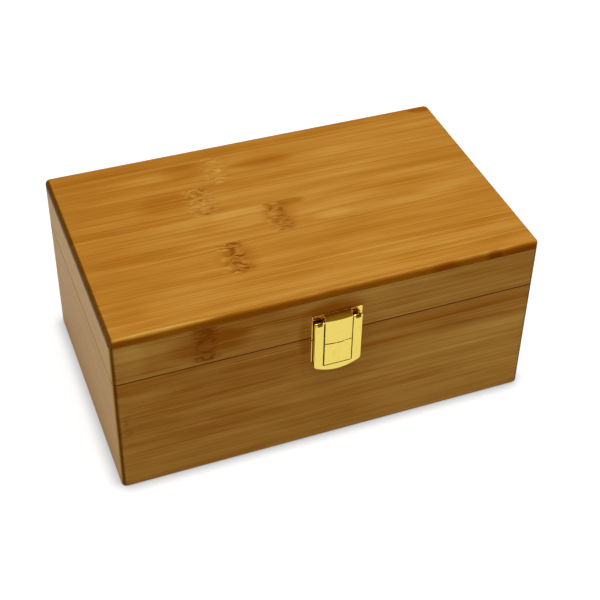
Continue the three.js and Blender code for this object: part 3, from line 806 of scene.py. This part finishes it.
def place_piece(bm, name, body, finish_name, replaced=(), crease=32):
    """Makes an object of a finished solid, which rides on a body and stands for CAD nodes."""
    loose = [edge for edge in bm.edges if len(edge.link_faces) != 2]
    if loose:
        raise RuntimeError(f"{name} isn't closed: {len(loose)} of its edges are open")
    mesh = bpy.data.meshes.new(name)
    bm.to_mesh(mesh)
    bm.free()
    mesh.shade_smooth()
    mesh.set_sharp_from_angle(angle=math.radians(crease))
    piece = bpy.data.objects.new(name, mesh)
    bpy.context.scene.collection.objects.link(piece)
    mesh.materials.append(finish(finish_name))
    weighted = piece.modifiers.new("flat faces", "WEIGHTED_NORMAL")
    weighted.keep_sharp = True
    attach(piece, body)
    if replaced:
        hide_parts(*replaced)
    return piece


# ---------------------------------------------------------------- boards


def rounded_block(low, high, corner, foot, head):
    """An upright block as wide and deep as the box, with rounded corners, foot and head."""
    bm = block((-WIDTH / 2, -DEPTH / 2, low), (WIDTH / 2, DEPTH / 2, high))
    upright = [edge for edge in bm.edges if abs(edge.verts[0].co.z - edge.verts[1].co.z) > NEAR]
    round_edges(bm, upright, corner, 10)
    for z, (radius, segments) in ((low, foot), (high, head)):
        if radius:
            round_edges(bm, rim_edges(bm, z), radius, segments)
    return bm


def board_of_side(bm, turn, glue_line, wall):
    """Leaves of a whole block the one mitred board on a side, drawn in place."""
    bmesh.ops.rotate(bm, cent=(0, 0, 0), matrix=Matrix.Rotation(-math.radians(turn), 3, "Z"), verts=bm.verts)
    long, reach = (WIDTH, DEPTH / 2) if turn % 180 == 0 else (DEPTH, WIDTH / 2)
    gap = glue_line * math.sqrt(0.5)
    cut_away(bm, (0, wall - reach, 0), (0, 1, 0))
    cut_away(bm, (long / 2 - gap, -reach, 0), (1, 1, 0))
    cut_away(bm, (gap - long / 2, -reach, 0), (-1, 1, 0))
    return long, reach


def turn_back(bm, turn):
    bmesh.ops.rotate(bm, cent=(0, 0, 0), matrix=Matrix.Rotation(math.radians(turn), 3, "Z"), verts=bm.verts)


def hinge_recesses(sizes, side_sign, rim):
    """The room for both hinge leaves in the rim of a back board, seen from its own side."""
    cutters = []
    for hinge in ("hinge_left", "hinge_right"):
        part = "lid" if side_sign > 0 else "base"
        low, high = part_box(f"{hinge}_{part}_leaf")
        reach_in = low.y - sizes.play
        near, far = sorted((rim - side_sign * OVERRUN, rim + side_sign * sizes.recess))
        inner, outer = -low.x + sizes.play, -high.x - sizes.play
        cutters.append(block((outer, -DEPTH / 2 - OVERRUN, near), (inner, -reach_in, far)))
    return cutters


def ease_inner_rim(bm, reach, wall, z, radius):
    inner = edges_where(bm, lambda place: abs(place.z - z) < NEAR and abs(place.y + reach - wall) < NEAR)
    round_edges(bm, inner, radius, 3)


class JEWELRYBOX_OT_base_walls(bpy.types.Operator):
    """Model the four mitred walls of the base"""

    bl_idname = "jewelry_box.base_walls"
    bl_label = "Base Walls"
    bl_options = {"REGISTER", "UNDO"}

    def execute(self, context):
        sizes = context.scene.box_sizes
        rim = WALL_HIGH.z
        panel_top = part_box("base_bottom_panel")[1].z + sizes.glue_line
        for side, turn in SIDES:
            bm = rounded_block(0, rim, sizes.corner, (sizes.foot_round, 5), (sizes.ease, 3))
            long, reach = board_of_side(bm, turn, sizes.glue_line, sizes.wall)
            ease_inner_rim(bm, reach, sizes.wall, rim, sizes.ease)
            bed = sizes.wall - sizes.rabbet
            cutters = [block((bed - long / 2, bed - reach, -OVERRUN), (long / 2 - bed, reach, panel_top))]
            if side == "back":
                cutters += hinge_recesses(context.scene.box_hinges, -1, rim)
            bm = combined(bm, cutters, "DIFFERENCE")
            turn_back(bm, turn)
            node = f"base_{side}_wall"
            place_piece(bm, f"{side}_wall_board", "base", side, [node])
        return {"FINISHED"}


class JEWELRYBOX_OT_bottom_panel(bpy.types.Operator):
    """Model the panel that closes the base from below"""

    bl_idname = "jewelry_box.bottom_panel"
    bl_label = "Bottom Panel"
    bl_options = {"REGISTER", "UNDO"}

    def execute(self, context):
        bm = block(*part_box("base_bottom_panel"))
        round_edges(bm, bm.edges[:], context.scene.box_sizes.ease, 3)
        place_piece(bm, "bottom_board", "base", "panel", ["base_bottom_panel"])
        return {"FINISHED"}


class JEWELRYBOX_OT_lid_rails(bpy.types.Operator):
    """Model the four mitred rails of the lid"""

    bl_idname = "jewelry_box.lid_rails"
    bl_label = "Lid Rails"
    bl_options = {"REGISTER", "UNDO"}

    def execute(self, context):
        sizes = context.scene.box_sizes
        rim = RAIL_LOW.z
        for side, turn in SIDES:
            bm = rounded_block(rim, RAIL_HIGH.z, sizes.corner, (sizes.ease, 3), (0, 0))
            _, reach = board_of_side(bm, turn, sizes.glue_line, sizes.wall)
            ease_inner_rim(bm, reach, sizes.wall, rim, sizes.ease)
            if side == "back":
                bm = combined(bm, hinge_recesses(context.scene.box_hinges, 1, rim), "DIFFERENCE")
            turn_back(bm, turn)
            finish_name = "lid_front" if side == "front" else side
            place_piece(bm, f"{side}_rail_board", "lid", finish_name, [f"lid_{side}_rail"])
        return {"FINISHED"}


class JEWELRYBOX_OT_lid_board(bpy.types.Operator):
    """Model the lid's top board, rounded over along its upper edge"""

    bl_idname = "jewelry_box.lid_board"
    bl_label = "Lid Board"
    bl_options = {"REGISTER", "UNDO"}

    def execute(self, context):
        sizes = context.scene.box_sizes
        low = BOARD_LOW.z
        bm = rounded_block(low, HEIGHT, sizes.corner, (sizes.board_ease, 2), (sizes.top_round, 8))
        place_piece(bm, "lid_board", "lid", "top", ["lid_top_board"])
        return {"FINISHED"}


# ---------------------------------------------------------------- lining


class JEWELRYBOX_OT_linings(bpy.types.Operator):
    """Model the padded velvet linings of the base and the lid"""

    bl_idname = "jewelry_box.linings"
    bl_label = "Linings"
    bl_options = {"REGISTER", "UNDO"}

    def execute(self, context):
        sizes = context.scene.box_lining
        pads = [
            ("base_floor_lining", "base", Vector((0, 0, 1))),
            ("base_front_lining", "base", Vector((0, 1, 0))),
            ("base_right_lining", "base", Vector((-1, 0, 0))),
            ("base_back_lining", "base", Vector((0, -1, 0))),
            ("base_left_lining", "base", Vector((1, 0, 0))),
            ("lid_lining", "lid", Vector((0, 0, -1))),
        ]
        for node, body, facing in pads:
            low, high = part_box(node)
            self.make_pad(node, body, low, high, facing, sizes)
        return {"FINISHED"}

    def make_pad(self, node, body, low, high, facing, sizes):
        bm = block(low, high)
        thickness = min(high - low)
        edges = [edge for edge in bm.edges if self.is_front(edge, low, high, facing)]
        round_edges(bm, edges, min(sizes.edge, thickness * 0.6), 5)
        middle = (low + high) / 2
        half = (high - low) / 2
        for axis in range(3):
            if abs(facing[axis]) > 0.5:
                continue
            count = max(4, round(half[axis] / (3 * MM)))
            direction = Vector([1 if index == axis else 0 for index in range(3)])
            for step in range(1, count):
                point = low + direction * (2 * half[axis] * step / count)
                everything = bm.verts[:] + bm.edges[:] + bm.faces[:]
                bmesh.ops.bisect_plane(bm, geom=everything, plane_co=point, plane_no=direction)
        for vert in bm.verts:
            out = (vert.co - middle).dot(facing)
            if out < thickness / 2 - NEAR:
                continue
            share = 1.0
            for axis in range(3):
                if abs(facing[axis]) < 0.5:
                    share *= 1 - abs((vert.co[axis] - middle[axis]) / half[axis]) ** 6
            swell = math.sin(vert.co.x * 190 + 1.3) + math.sin(vert.co.y * 230 + vert.co.z * 170)
            vert.co += facing * (share * (sizes.crown + sizes.ripple * swell / 2))
        made = place_piece(bm, f"{node}_pad", body, "velvet", [node], crease=60)

    @staticmethod
    def is_front(edge, low, high, facing):
        """Whether an edge of a pad lies on the side that shows."""
        surface_at = max(facing.dot(low), facing.dot(high))
        return all(facing.dot(vert.co) > surface_at - NEAR for vert in edge.verts)


# ---------------------------------------------------------------- hinges


class JEWELRYBOX_OT_hinges(bpy.types.Operator):
    """Model both hinges with their pins and countersunk screws"""

    bl_idname = "jewelry_box.hinges"
    bl_label = "Hinges"
    bl_options = {"REGISTER", "UNDO"}

    def execute(self, context):
        sizes = context.scene.box_hinges
        for hinge in ("hinge_left", "hinge_right"):
            for part in ("base", "lid"):
                self.make_leaf(f"{hinge}_{part}_leaf", part, sizes)
                for place in ("outer", "inner"):
                    self.make_screw(f"{hinge}_{part}_{place}_screw", part, sizes)
            self.make_pin(f"{hinge}_pin", sizes)
        return {"FINISHED"}

    def make_leaf(self, node, part, sizes):
        """The leaf's own solid with its triangles merged into faces and its stamped edges eased."""
        bm = bmesh.new()
        bm.from_mesh(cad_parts[node].data)
        bmesh.ops.remove_doubles(bm, verts=bm.verts, dist=NEAR / 5)
        bmesh.ops.dissolve_limit(bm, angle_limit=math.radians(1), verts=bm.verts, edges=bm.edges)
        bmesh.ops.recalc_face_normals(bm, faces=bm.faces)
        round_edges(bm, sharp_edges(bm, 50), sizes.ease, 2)
        place_piece(bm, f"{node}_plate", part, "gold", [node])

    def make_screw(self, node, part, sizes):
        low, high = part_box(node)
        seat = high.z if part == "base" else low.z
        profile = [
            (0, -sizes.screw_length),
            (sizes.screw_shank, 2 * sizes.screw_shank - sizes.screw_length),
            (sizes.screw_shank, -sizes.screw_seat),
            (sizes.screw_head - sizes.screw_rim, -sizes.screw_rim),
            (sizes.screw_head - 1.2 * sizes.screw_rim, -0.2 * sizes.screw_rim),
            (sizes.screw_head - 3 * sizes.screw_rim, 0),
            (0, 0),
        ]
        bm = turned(profile, (0, 0, 1), 32)
        reach = sizes.screw_head * 0.62
        half = sizes.cross / 2
        cutters = [
            block((-reach, -half, -sizes.cross_depth), (reach, half, OVERRUN)),
            block((-half, -reach, -sizes.cross_depth), (half, reach, OVERRUN)),
        ]
        bm = combined(bm, cutters, "DIFFERENCE")
        if part == "lid":
            bmesh.ops.rotate(bm, cent=(0, 0, 0), matrix=Matrix.Rotation(math.pi, 3, "X"), verts=bm.verts)
        middle = (low + high) / 2
        bmesh.ops.translate(bm, vec=(middle.x, middle.y, seat), verts=bm.verts)
        place_piece(bm, f"{node}_turned", part, "gold", [node])

    def make_pin(self, node, sizes):
        low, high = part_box(node)
        middle = (low + high) / 2
        radius = (high.z - low.z) / 2
        bm = rod(radius, low.x, high.x, middle.y, middle.z, dome=sizes.pin_dome)
        place_piece(bm, f"{node}_rod", "base", "gold", [node])


# ---------------------------------------------------------------- latch


def on_front(bm, sizes):
    """Moves what is drawn about the latch's own point to its place on the box."""
    bmesh.ops.translate(bm, vec=(sizes.offset, -DEPTH / 2, PARTING), verts=bm.verts)


def latch_plate(sizes, glue_line, low, high):
    """One of the two flat plates that are nailed to the wood."""
    half = sizes.width / 2
    bm = block((-half, -glue_line - sizes.sheet, low), (half, -glue_line, high))
    into_wood = [edge for edge in bm.edges if abs(edge.verts[0].co.y - edge.verts[1].co.y) > NEAR]
    round_edges(bm, into_wood, sizes.plate_corner, 4)
    face = edges_where(bm, lambda place: place.y < -glue_line - sizes.sheet + NEAR)
    round_edges(bm, face, sizes.ease, 3)
    return bm


def slices(half, count=14):
    return [half * (2 * step / count - 1) for step in range(1, count)]


class JEWELRYBOX_OT_latch_plates(bpy.types.Operator):
    """Model the lid plate with its strap and the catch plate with its hook"""

    bl_idname = "jewelry_box.latch_plates"
    bl_label = "Latch Plates"
    bl_options = {"REGISTER", "UNDO"}

    def execute(self, context):
        sizes = context.scene.box_latch
        glue_line = context.scene.box_sizes.glue_line
        self.make_lid_plate(sizes, glue_line)
        self.make_catch_plate(sizes, glue_line)
        return {"FINISHED"}

    def make_lid_plate(self, sizes, glue_line):
        plate = latch_plate(sizes, glue_line, sizes.split_gap / 2 - sizes.split, sizes.top)
        front = sizes.tongue_out
        back = front - sizes.sheet
        rooted = glue_line + sizes.sheet / 2
        face = glue_line + sizes.sheet
        lowest = -sizes.tongue_split
        shoulder = sizes.pin_height - sizes.shoulder
        over_pin = sizes.pin_height + sizes.bore
        upper = sizes.top - sizes.strap_root
        outline = [
            (-front, lowest),
            (-front, sizes.bend_height),
            (-face, upper),
            (-rooted, upper),
            (-rooted, shoulder),
            (sizes.bore - sizes.pin_out, shoulder),
            (sizes.bore - sizes.pin_out, over_pin),
            (-back, over_pin),
            (-back, lowest),
        ]
        half = sizes.tongue / 2
        strap = prism(outline, half)
        bend = edges_where(
            strap, lambda place: abs(place.y + front) < NEAR and abs(place.z - sizes.bend_height) < NEAR
        )
        round_edges(strap, bend, sizes.bend * math.tan(math.radians(STRAP_TURN / 2)), 6)
        over = edges_where(
            strap, lambda place: abs(place.z - over_pin) < NEAR and place.y < sizes.bore - sizes.pin_out + NEAR
        )
        across = [edge for edge in over if abs(edge.verts[0].co.x - edge.verts[1].co.x) > NEAR]
        round_edges(strap, across, sizes.inner_bend, 5)
        slice_along_x(strap, slices(half))
        for vert in strap.verts:
            sag = 1 - (vert.co.x / half) ** 2
            if vert.co.z < lowest + NEAR:
                vert.co.z -= sizes.tongue_bow * sag
            elif vert.co.y < -face - NEAR and vert.co.z > over_pin + NEAR:
                vert.co.z -= sizes.bend_dip * sag
        round_edges(strap, sharp_edges(strap, 60), sizes.ease, 3)
        bm = combined(plate, [strap], "UNION")
        on_front(bm, sizes)
        place_piece(bm, "latch_strap_plate", "lid", "gold_strap_painted_shade", ["latch_lid_plate"])

    def make_catch_plate(self, sizes, glue_line):
        plate = latch_plate(sizes, glue_line, -sizes.foot, -sizes.split_gap / 2 - sizes.split)
        front = sizes.tongue_out
        back = front - sizes.sheet
        rooted = glue_line + sizes.sheet / 2
        top = -sizes.tongue_split - sizes.tongue_gap
        foot = top - sizes.tongue_length
        web = top - sizes.catch_root
        outline = [
            (-front, foot),
            (-front, top),
            (-rooted, top),
            (-rooted, web),
            (-back, web),
            (-back, foot + sizes.sheet),
            (sizes.hook_lip - back, foot + sizes.sheet),
            (sizes.hook_lip - back, foot),
        ]
        half = sizes.tongue / 2
        hook = prism(outline, half)
        slice_along_x(hook, slices(half))
        for vert in hook.verts:
            if vert.co.z > web - NEAR:
                vert.co.z -= sizes.tongue_bow * (1 - (vert.co.x / half) ** 2)
        round_edges(hook, sharp_edges(hook, 60), sizes.ease, 3)
        bm = combined(plate, [hook], "UNION")
        on_front(bm, sizes)
        place_piece(bm, "latch_hook_plate", "base", "gold", ["latch_catch_plate"])


class JEWELRYBOX_OT_latch_frame(bpy.types.Operator):
    """Model the swinging frame with its two crowned eyes"""

    bl_idname = "jewelry_box.latch_frame"
    bl_label = "Latch Frame"
    bl_options = {"REGISTER", "UNDO"}

    def execute(self, context):
        sizes = context.scene.box_latch
        window = sizes.tongue / 2 + sizes.play
        outer = window + sizes.arm
        window_foot = -sizes.tongue_split - sizes.tongue_gap - sizes.tongue_length - sizes.hook_gap
        corner = window_foot - sizes.corner_drop
        bm = block((-outer, -sizes.frame_out, corner), (outer, -sizes.frame_back, sizes.pin_height))
        slice_along_x(bm, slices(outer, 24))
        for vert in bm.verts:
            if vert.co.z < corner + NEAR:
                vert.co.z -= sizes.bow * (1 - (vert.co.x / outer) ** 2)
        upright = [
            edge
            for edge in edges_where(bm, lambda place: abs(abs(place.x) - outer) < NEAR and place.z < corner + NEAR)
            if abs(edge.verts[0].co.y - edge.verts[1].co.y) > NEAR
        ]
        round_edges(bm, upright, sizes.frame_corner, 6)
        front, head = -sizes.frame_out - OVERRUN, sizes.pin_height + OVERRUN
        opening = block((-window, front, window_foot), (window, 0, head))
        bm = combined(bm, [opening], "DIFFERENCE")
        bmesh.ops.dissolve_limit(bm, angle_limit=math.radians(0.5), verts=bm.verts, edges=bm.edges)
        round_edges(bm, sharp_edges(bm, 60), sizes.ease * 1.4, 3)
        eyes = [self.eye(sizes, -outer, -window), self.eye(sizes, window, outer)]
        bm = combined(bm, eyes, "UNION")
        bore = rod(sizes.bore, -outer - OVERRUN, outer + OVERRUN, -sizes.pin_out, sizes.pin_height)
        bm = combined(bm, [bore], "DIFFERENCE")
        on_front(bm, sizes)
        place_piece(bm, "latch_swing_frame", "latch_frame", "gold_frame_painted_shade", ["latch_frame"])
        return {"FINISHED"}

    @staticmethod
    def eye(sizes, left, right):
        """A barrel that is a little fatter in its middle and rounded at its ends."""
        steps = 12
        end, edge = sizes.eye - sizes.eye_round, sizes.eye - sizes.eye_edge
        profile = [(0, left), (end, left), (edge, left + sizes.eye_edge)]
        for step in range(steps + 1):
            share = step / steps
            place = left + sizes.eye_round + (right - left - 2 * sizes.eye_round) * share
            profile.append((sizes.eye + sizes.eye_crown * (1 - (2 * share - 1) ** 2), place))
        profile += [(edge, right - sizes.eye_edge), (end, right), (0, right)]
        bm = turned(profile, (1, 0, 0), 40)
        bmesh.ops.translate(bm, vec=(0, -sizes.pin_out, sizes.pin_height), verts=bm.verts)
        return bm


class JEWELRYBOX_OT_latch_fasteners(bpy.types.Operator):
    """Model the latch's pin and its four round-headed nails"""

    bl_idname = "jewelry_box.latch_fasteners"
    bl_label = "Latch Pin and Nails"
    bl_options = {"REGISTER", "UNDO"}

    def execute(self, context):
        sizes = context.scene.box_latch
        low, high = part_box("latch_pin")
        middle = (low + high) / 2
        bm = rod(sizes.pin, low.x, high.x, middle.y, middle.z, dome=sizes.pin_dome)
        place_piece(bm, "latch_pin_rod", "lid", "gold", ["latch_pin"])
        for part, body in (("lid", "lid"), ("catch", "base")):
            for hand in ("left", "right"):
                self.make_nail(f"latch_{part}_{hand}_nail", body, sizes)
        return {"FINISHED"}

    def make_nail(self, node, body, sizes):
        low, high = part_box(node)
        ball = (sizes.nail**2 + sizes.nail_dome**2) / (2 * sizes.nail_dome)
        widest = math.asin(sizes.nail / ball)
        tip = low.y + sizes.nail_dome - high.y
        shank = sizes.nail_shank
        profile = [(0, tip), (shank, tip + sizes.nail_tip), (shank, 0)]
        steps = 8
        for step in range(steps):
            lean = widest * (1 - step / steps)
            profile.append((ball * math.sin(lean), sizes.nail_dome - ball * (1 - math.cos(lean))))
        bm = turned([*profile, (0, sizes.nail_dome)], (0, -1, 0), 36)
        middle = (low + high) / 2
        bmesh.ops.translate(bm, vec=(middle.x, low.y + sizes.nail_dome, middle.z), verts=bm.verts)
        place_piece(bm, f"{node}_domed", body, "gold", [node])


# ---------------------------------------------------------------- stage


class JEWELRYBOX_OT_stage(bpy.types.Operator):
    """Set up the floor, the soft lamps, the room and the camera"""

    bl_idname = "jewelry_box.stage"
    bl_label = "Stage"
    bl_options = {"REGISTER", "UNDO"}

    def execute(self, context):
        scene = context.scene
        stage = scene.box_stage
        scene.view_settings.view_transform = "Standard"
        self.make_floor(stage)
        self.make_room(scene, stage)
        self.make_lamp("overhead_lamp", (0.1, -0.1, 1.25), (0, 0, 0.05), 0.9, 0.9, stage.key)
        self.make_lamp("left_lamp", (-1.0, -0.35, 0.55), (0, 0, 0.08), 0.25, 0.5, stage.left)
        self.make_lamp("right_lamp", (0.95, -0.5, 0.55), (0, 0, 0.08), 0.25, 0.5, stage.right)
        self.make_camera(scene, stage)
        return {"FINISHED"}

    def make_floor(self, stage):
        bm = bmesh.new()
        bmesh.ops.create_grid(bm, x_segments=1, y_segments=1, size=6)
        mesh = bpy.data.meshes.new("pale_floor")
        bm.to_mesh(mesh)
        bm.free()
        floor = bpy.data.objects.new("pale_floor", mesh)
        bpy.context.scene.collection.objects.link(floor)
        material, nodes = new_material("pale_floor")
        camera, seen = self.shown_rays(nodes)
        place = nodes.place()
        from_box = (place["x"] * place["x"] + place["y"] * place["y"]).math("SQRT") * MM
        far = from_box.smooth(0.5, 1.1)
        touching = nodes.node("ShaderNodeAmbientOcclusion", {"samples": 16}, {"Distance": stage.contact}, output="AO")
        kept = touching * 0.84 + 0.16
        matt = nodes.node("ShaderNodeBsdfDiffuse", {}, {"Color": (0.62, 0.62, 0.62, 1)})
        shaded = nodes.mix(kept * (1 - far), (0, 0, 0, 1), (stage.floor, stage.floor, stage.floor, 1))
        lit = nodes.node("ShaderNodeBsdfDiffuse", {}, {"Color": shaded})
        bright = (1.06 - stage.floor + camera * 0.11) * (1 - far) + far
        glow = nodes.node("ShaderNodeEmission", {}, {"Color": (1, 1, 1, 1), "Strength": bright * kept})
        white = nodes.node("ShaderNodeAddShader", {}, {0: lit, 1: glow})
        shader = nodes.node("ShaderNodeMixShader", {}, {0: seen, 1: matt, 2: white})
        nodes.node("ShaderNodeOutputMaterial", {}, {"Surface": shader})
        mesh.materials.append(material)

    @staticmethod
    def shown_rays(nodes):
        """1 for the camera's rays, and 1 for all that show the surroundings: also reflections and glass."""
        path = nodes.node("ShaderNodeLightPath", {}, {})
        outputs = path.socket.node.outputs
        camera = Value(nodes, outputs["Is Camera Ray"])
        glossy = Value(nodes, outputs["Is Glossy Ray"])
        through = Value(nodes, outputs["Is Transmission Ray"])
        return camera, camera.math("MAXIMUM", glossy).math("MAXIMUM", through)

    def make_room(self, scene, stage):
        """White all round near the floor, and dimmer overhead."""
        world = bpy.data.worlds.new("pale_room")
        world.use_nodes = True
        scene.world = world
        nodes = Nodes(world.node_tree)
        direction = nodes.node("ShaderNodeTexCoord", {}, {}, output="Generated")
        parts = nodes.node("ShaderNodeSeparateXYZ", {}, {0: direction}, output="Z")
        up = parts.smooth(0.12, 0.5)
        camera, seen = self.shown_rays(nodes)
        warm = nodes.mix(up * (1 - camera) * seen, (1, 1, 1, 1), opaque(stage.ceiling))
        strength = seen + (1 - seen) * stage.room
        background = nodes.node("ShaderNodeBackground", {}, {"Color": warm, "Strength": strength})
        nodes.node("ShaderNodeOutputWorld", {}, {"Surface": background})

    def make_lamp(self, name, place, target, width, depth, power):
        light = bpy.data.lights.new(name, "AREA")
        light.shape = "RECTANGLE"
        light.size = width
        light.size_y = depth
        light.energy = power
        lamp = bpy.data.objects.new(name, light)
        bpy.context.scene.collection.objects.link(lamp)
        lamp.location = place
        lamp.rotation_euler = (Vector(target) - Vector(place)).to_track_quat("-Z", "Y").to_euler()

    def make_camera(self, scene, stage):
        flat = math.cos(stage.elevation)
        back = Vector(
            (math.sin(stage.azimuth) * flat, -math.cos(stage.azimuth) * flat, math.sin(stage.elevation))
        )
        right = Vector((0, 0, 1)).cross(back).normalized()
        level = Matrix((right, back.cross(right), back)).transposed()
        turn = level @ Matrix.Rotation(stage.roll, 3, "Z")
        lens = bpy.data.cameras.new("photo_camera")
        lens.lens = stage.lens
        lens.sensor_width = 36
        lens.shift_x, lens.shift_y = stage.shift
        lens.clip_start = 0.01
        camera = bpy.data.objects.new("photo_camera", lens)
        bpy.context.scene.collection.objects.link(camera)
        camera.matrix_world = Matrix.Translation(stage.place) @ turn.to_4x4()
        scene.camera = camera


# ---------------------------------------------------------------- panel and registration

STEPS = (
    JEWELRYBOX_OT_stage,
    JEWELRYBOX_OT_base_walls,
    JEWELRYBOX_OT_bottom_panel,
    JEWELRYBOX_OT_lid_rails,
    JEWELRYBOX_OT_lid_board,
    JEWELRYBOX_OT_linings,
    JEWELRYBOX_OT_hinges,
    JEWELRYBOX_OT_latch_plates,
    JEWELRYBOX_OT_latch_frame,
    JEWELRYBOX_OT_latch_fasteners,
)


class JEWELRYBOX_PT_panel(bpy.types.Panel):
    """Lists the steps of the box and the sizes and colours that they use"""

    bl_idname = "JEWELRYBOX_PT_panel"
    bl_label = "Jewelry Box"
    bl_space_type = "VIEW_3D"
    bl_region_type = "UI"
    bl_category = "Jewelry Box"

    def draw(self, context):
        layout = self.layout
        for step in STEPS:
            layout.operator(step.bl_idname)
        for name in GROUPS:
            group = getattr(context.scene, name)
            column = layout.box().column()
            for field in group.bl_rna.properties:
                if field.identifier not in ("rna_type", "name"):
                    column.prop(group, field.identifier)


CLASSES = (*GROUPS.values(), *STEPS, JEWELRYBOX_PT_panel)


def register():
    for made in CLASSES:
        bpy.utils.register_class(made)
    for name, group in GROUPS.items():
        setattr(bpy.types.Scene, name, bpy.props.PointerProperty(type=group))


def unregister():
    for name in GROUPS:
        delattr(bpy.types.Scene, name)
    for made in reversed(CLASSES):
        bpy.utils.unregister_class(made)


def main():
    register()
    for step in STEPS:
        category, name = step.bl_idname.split(".")
        getattr(getattr(bpy.ops, category), name)()


if __name__ == "__main__":
    main()
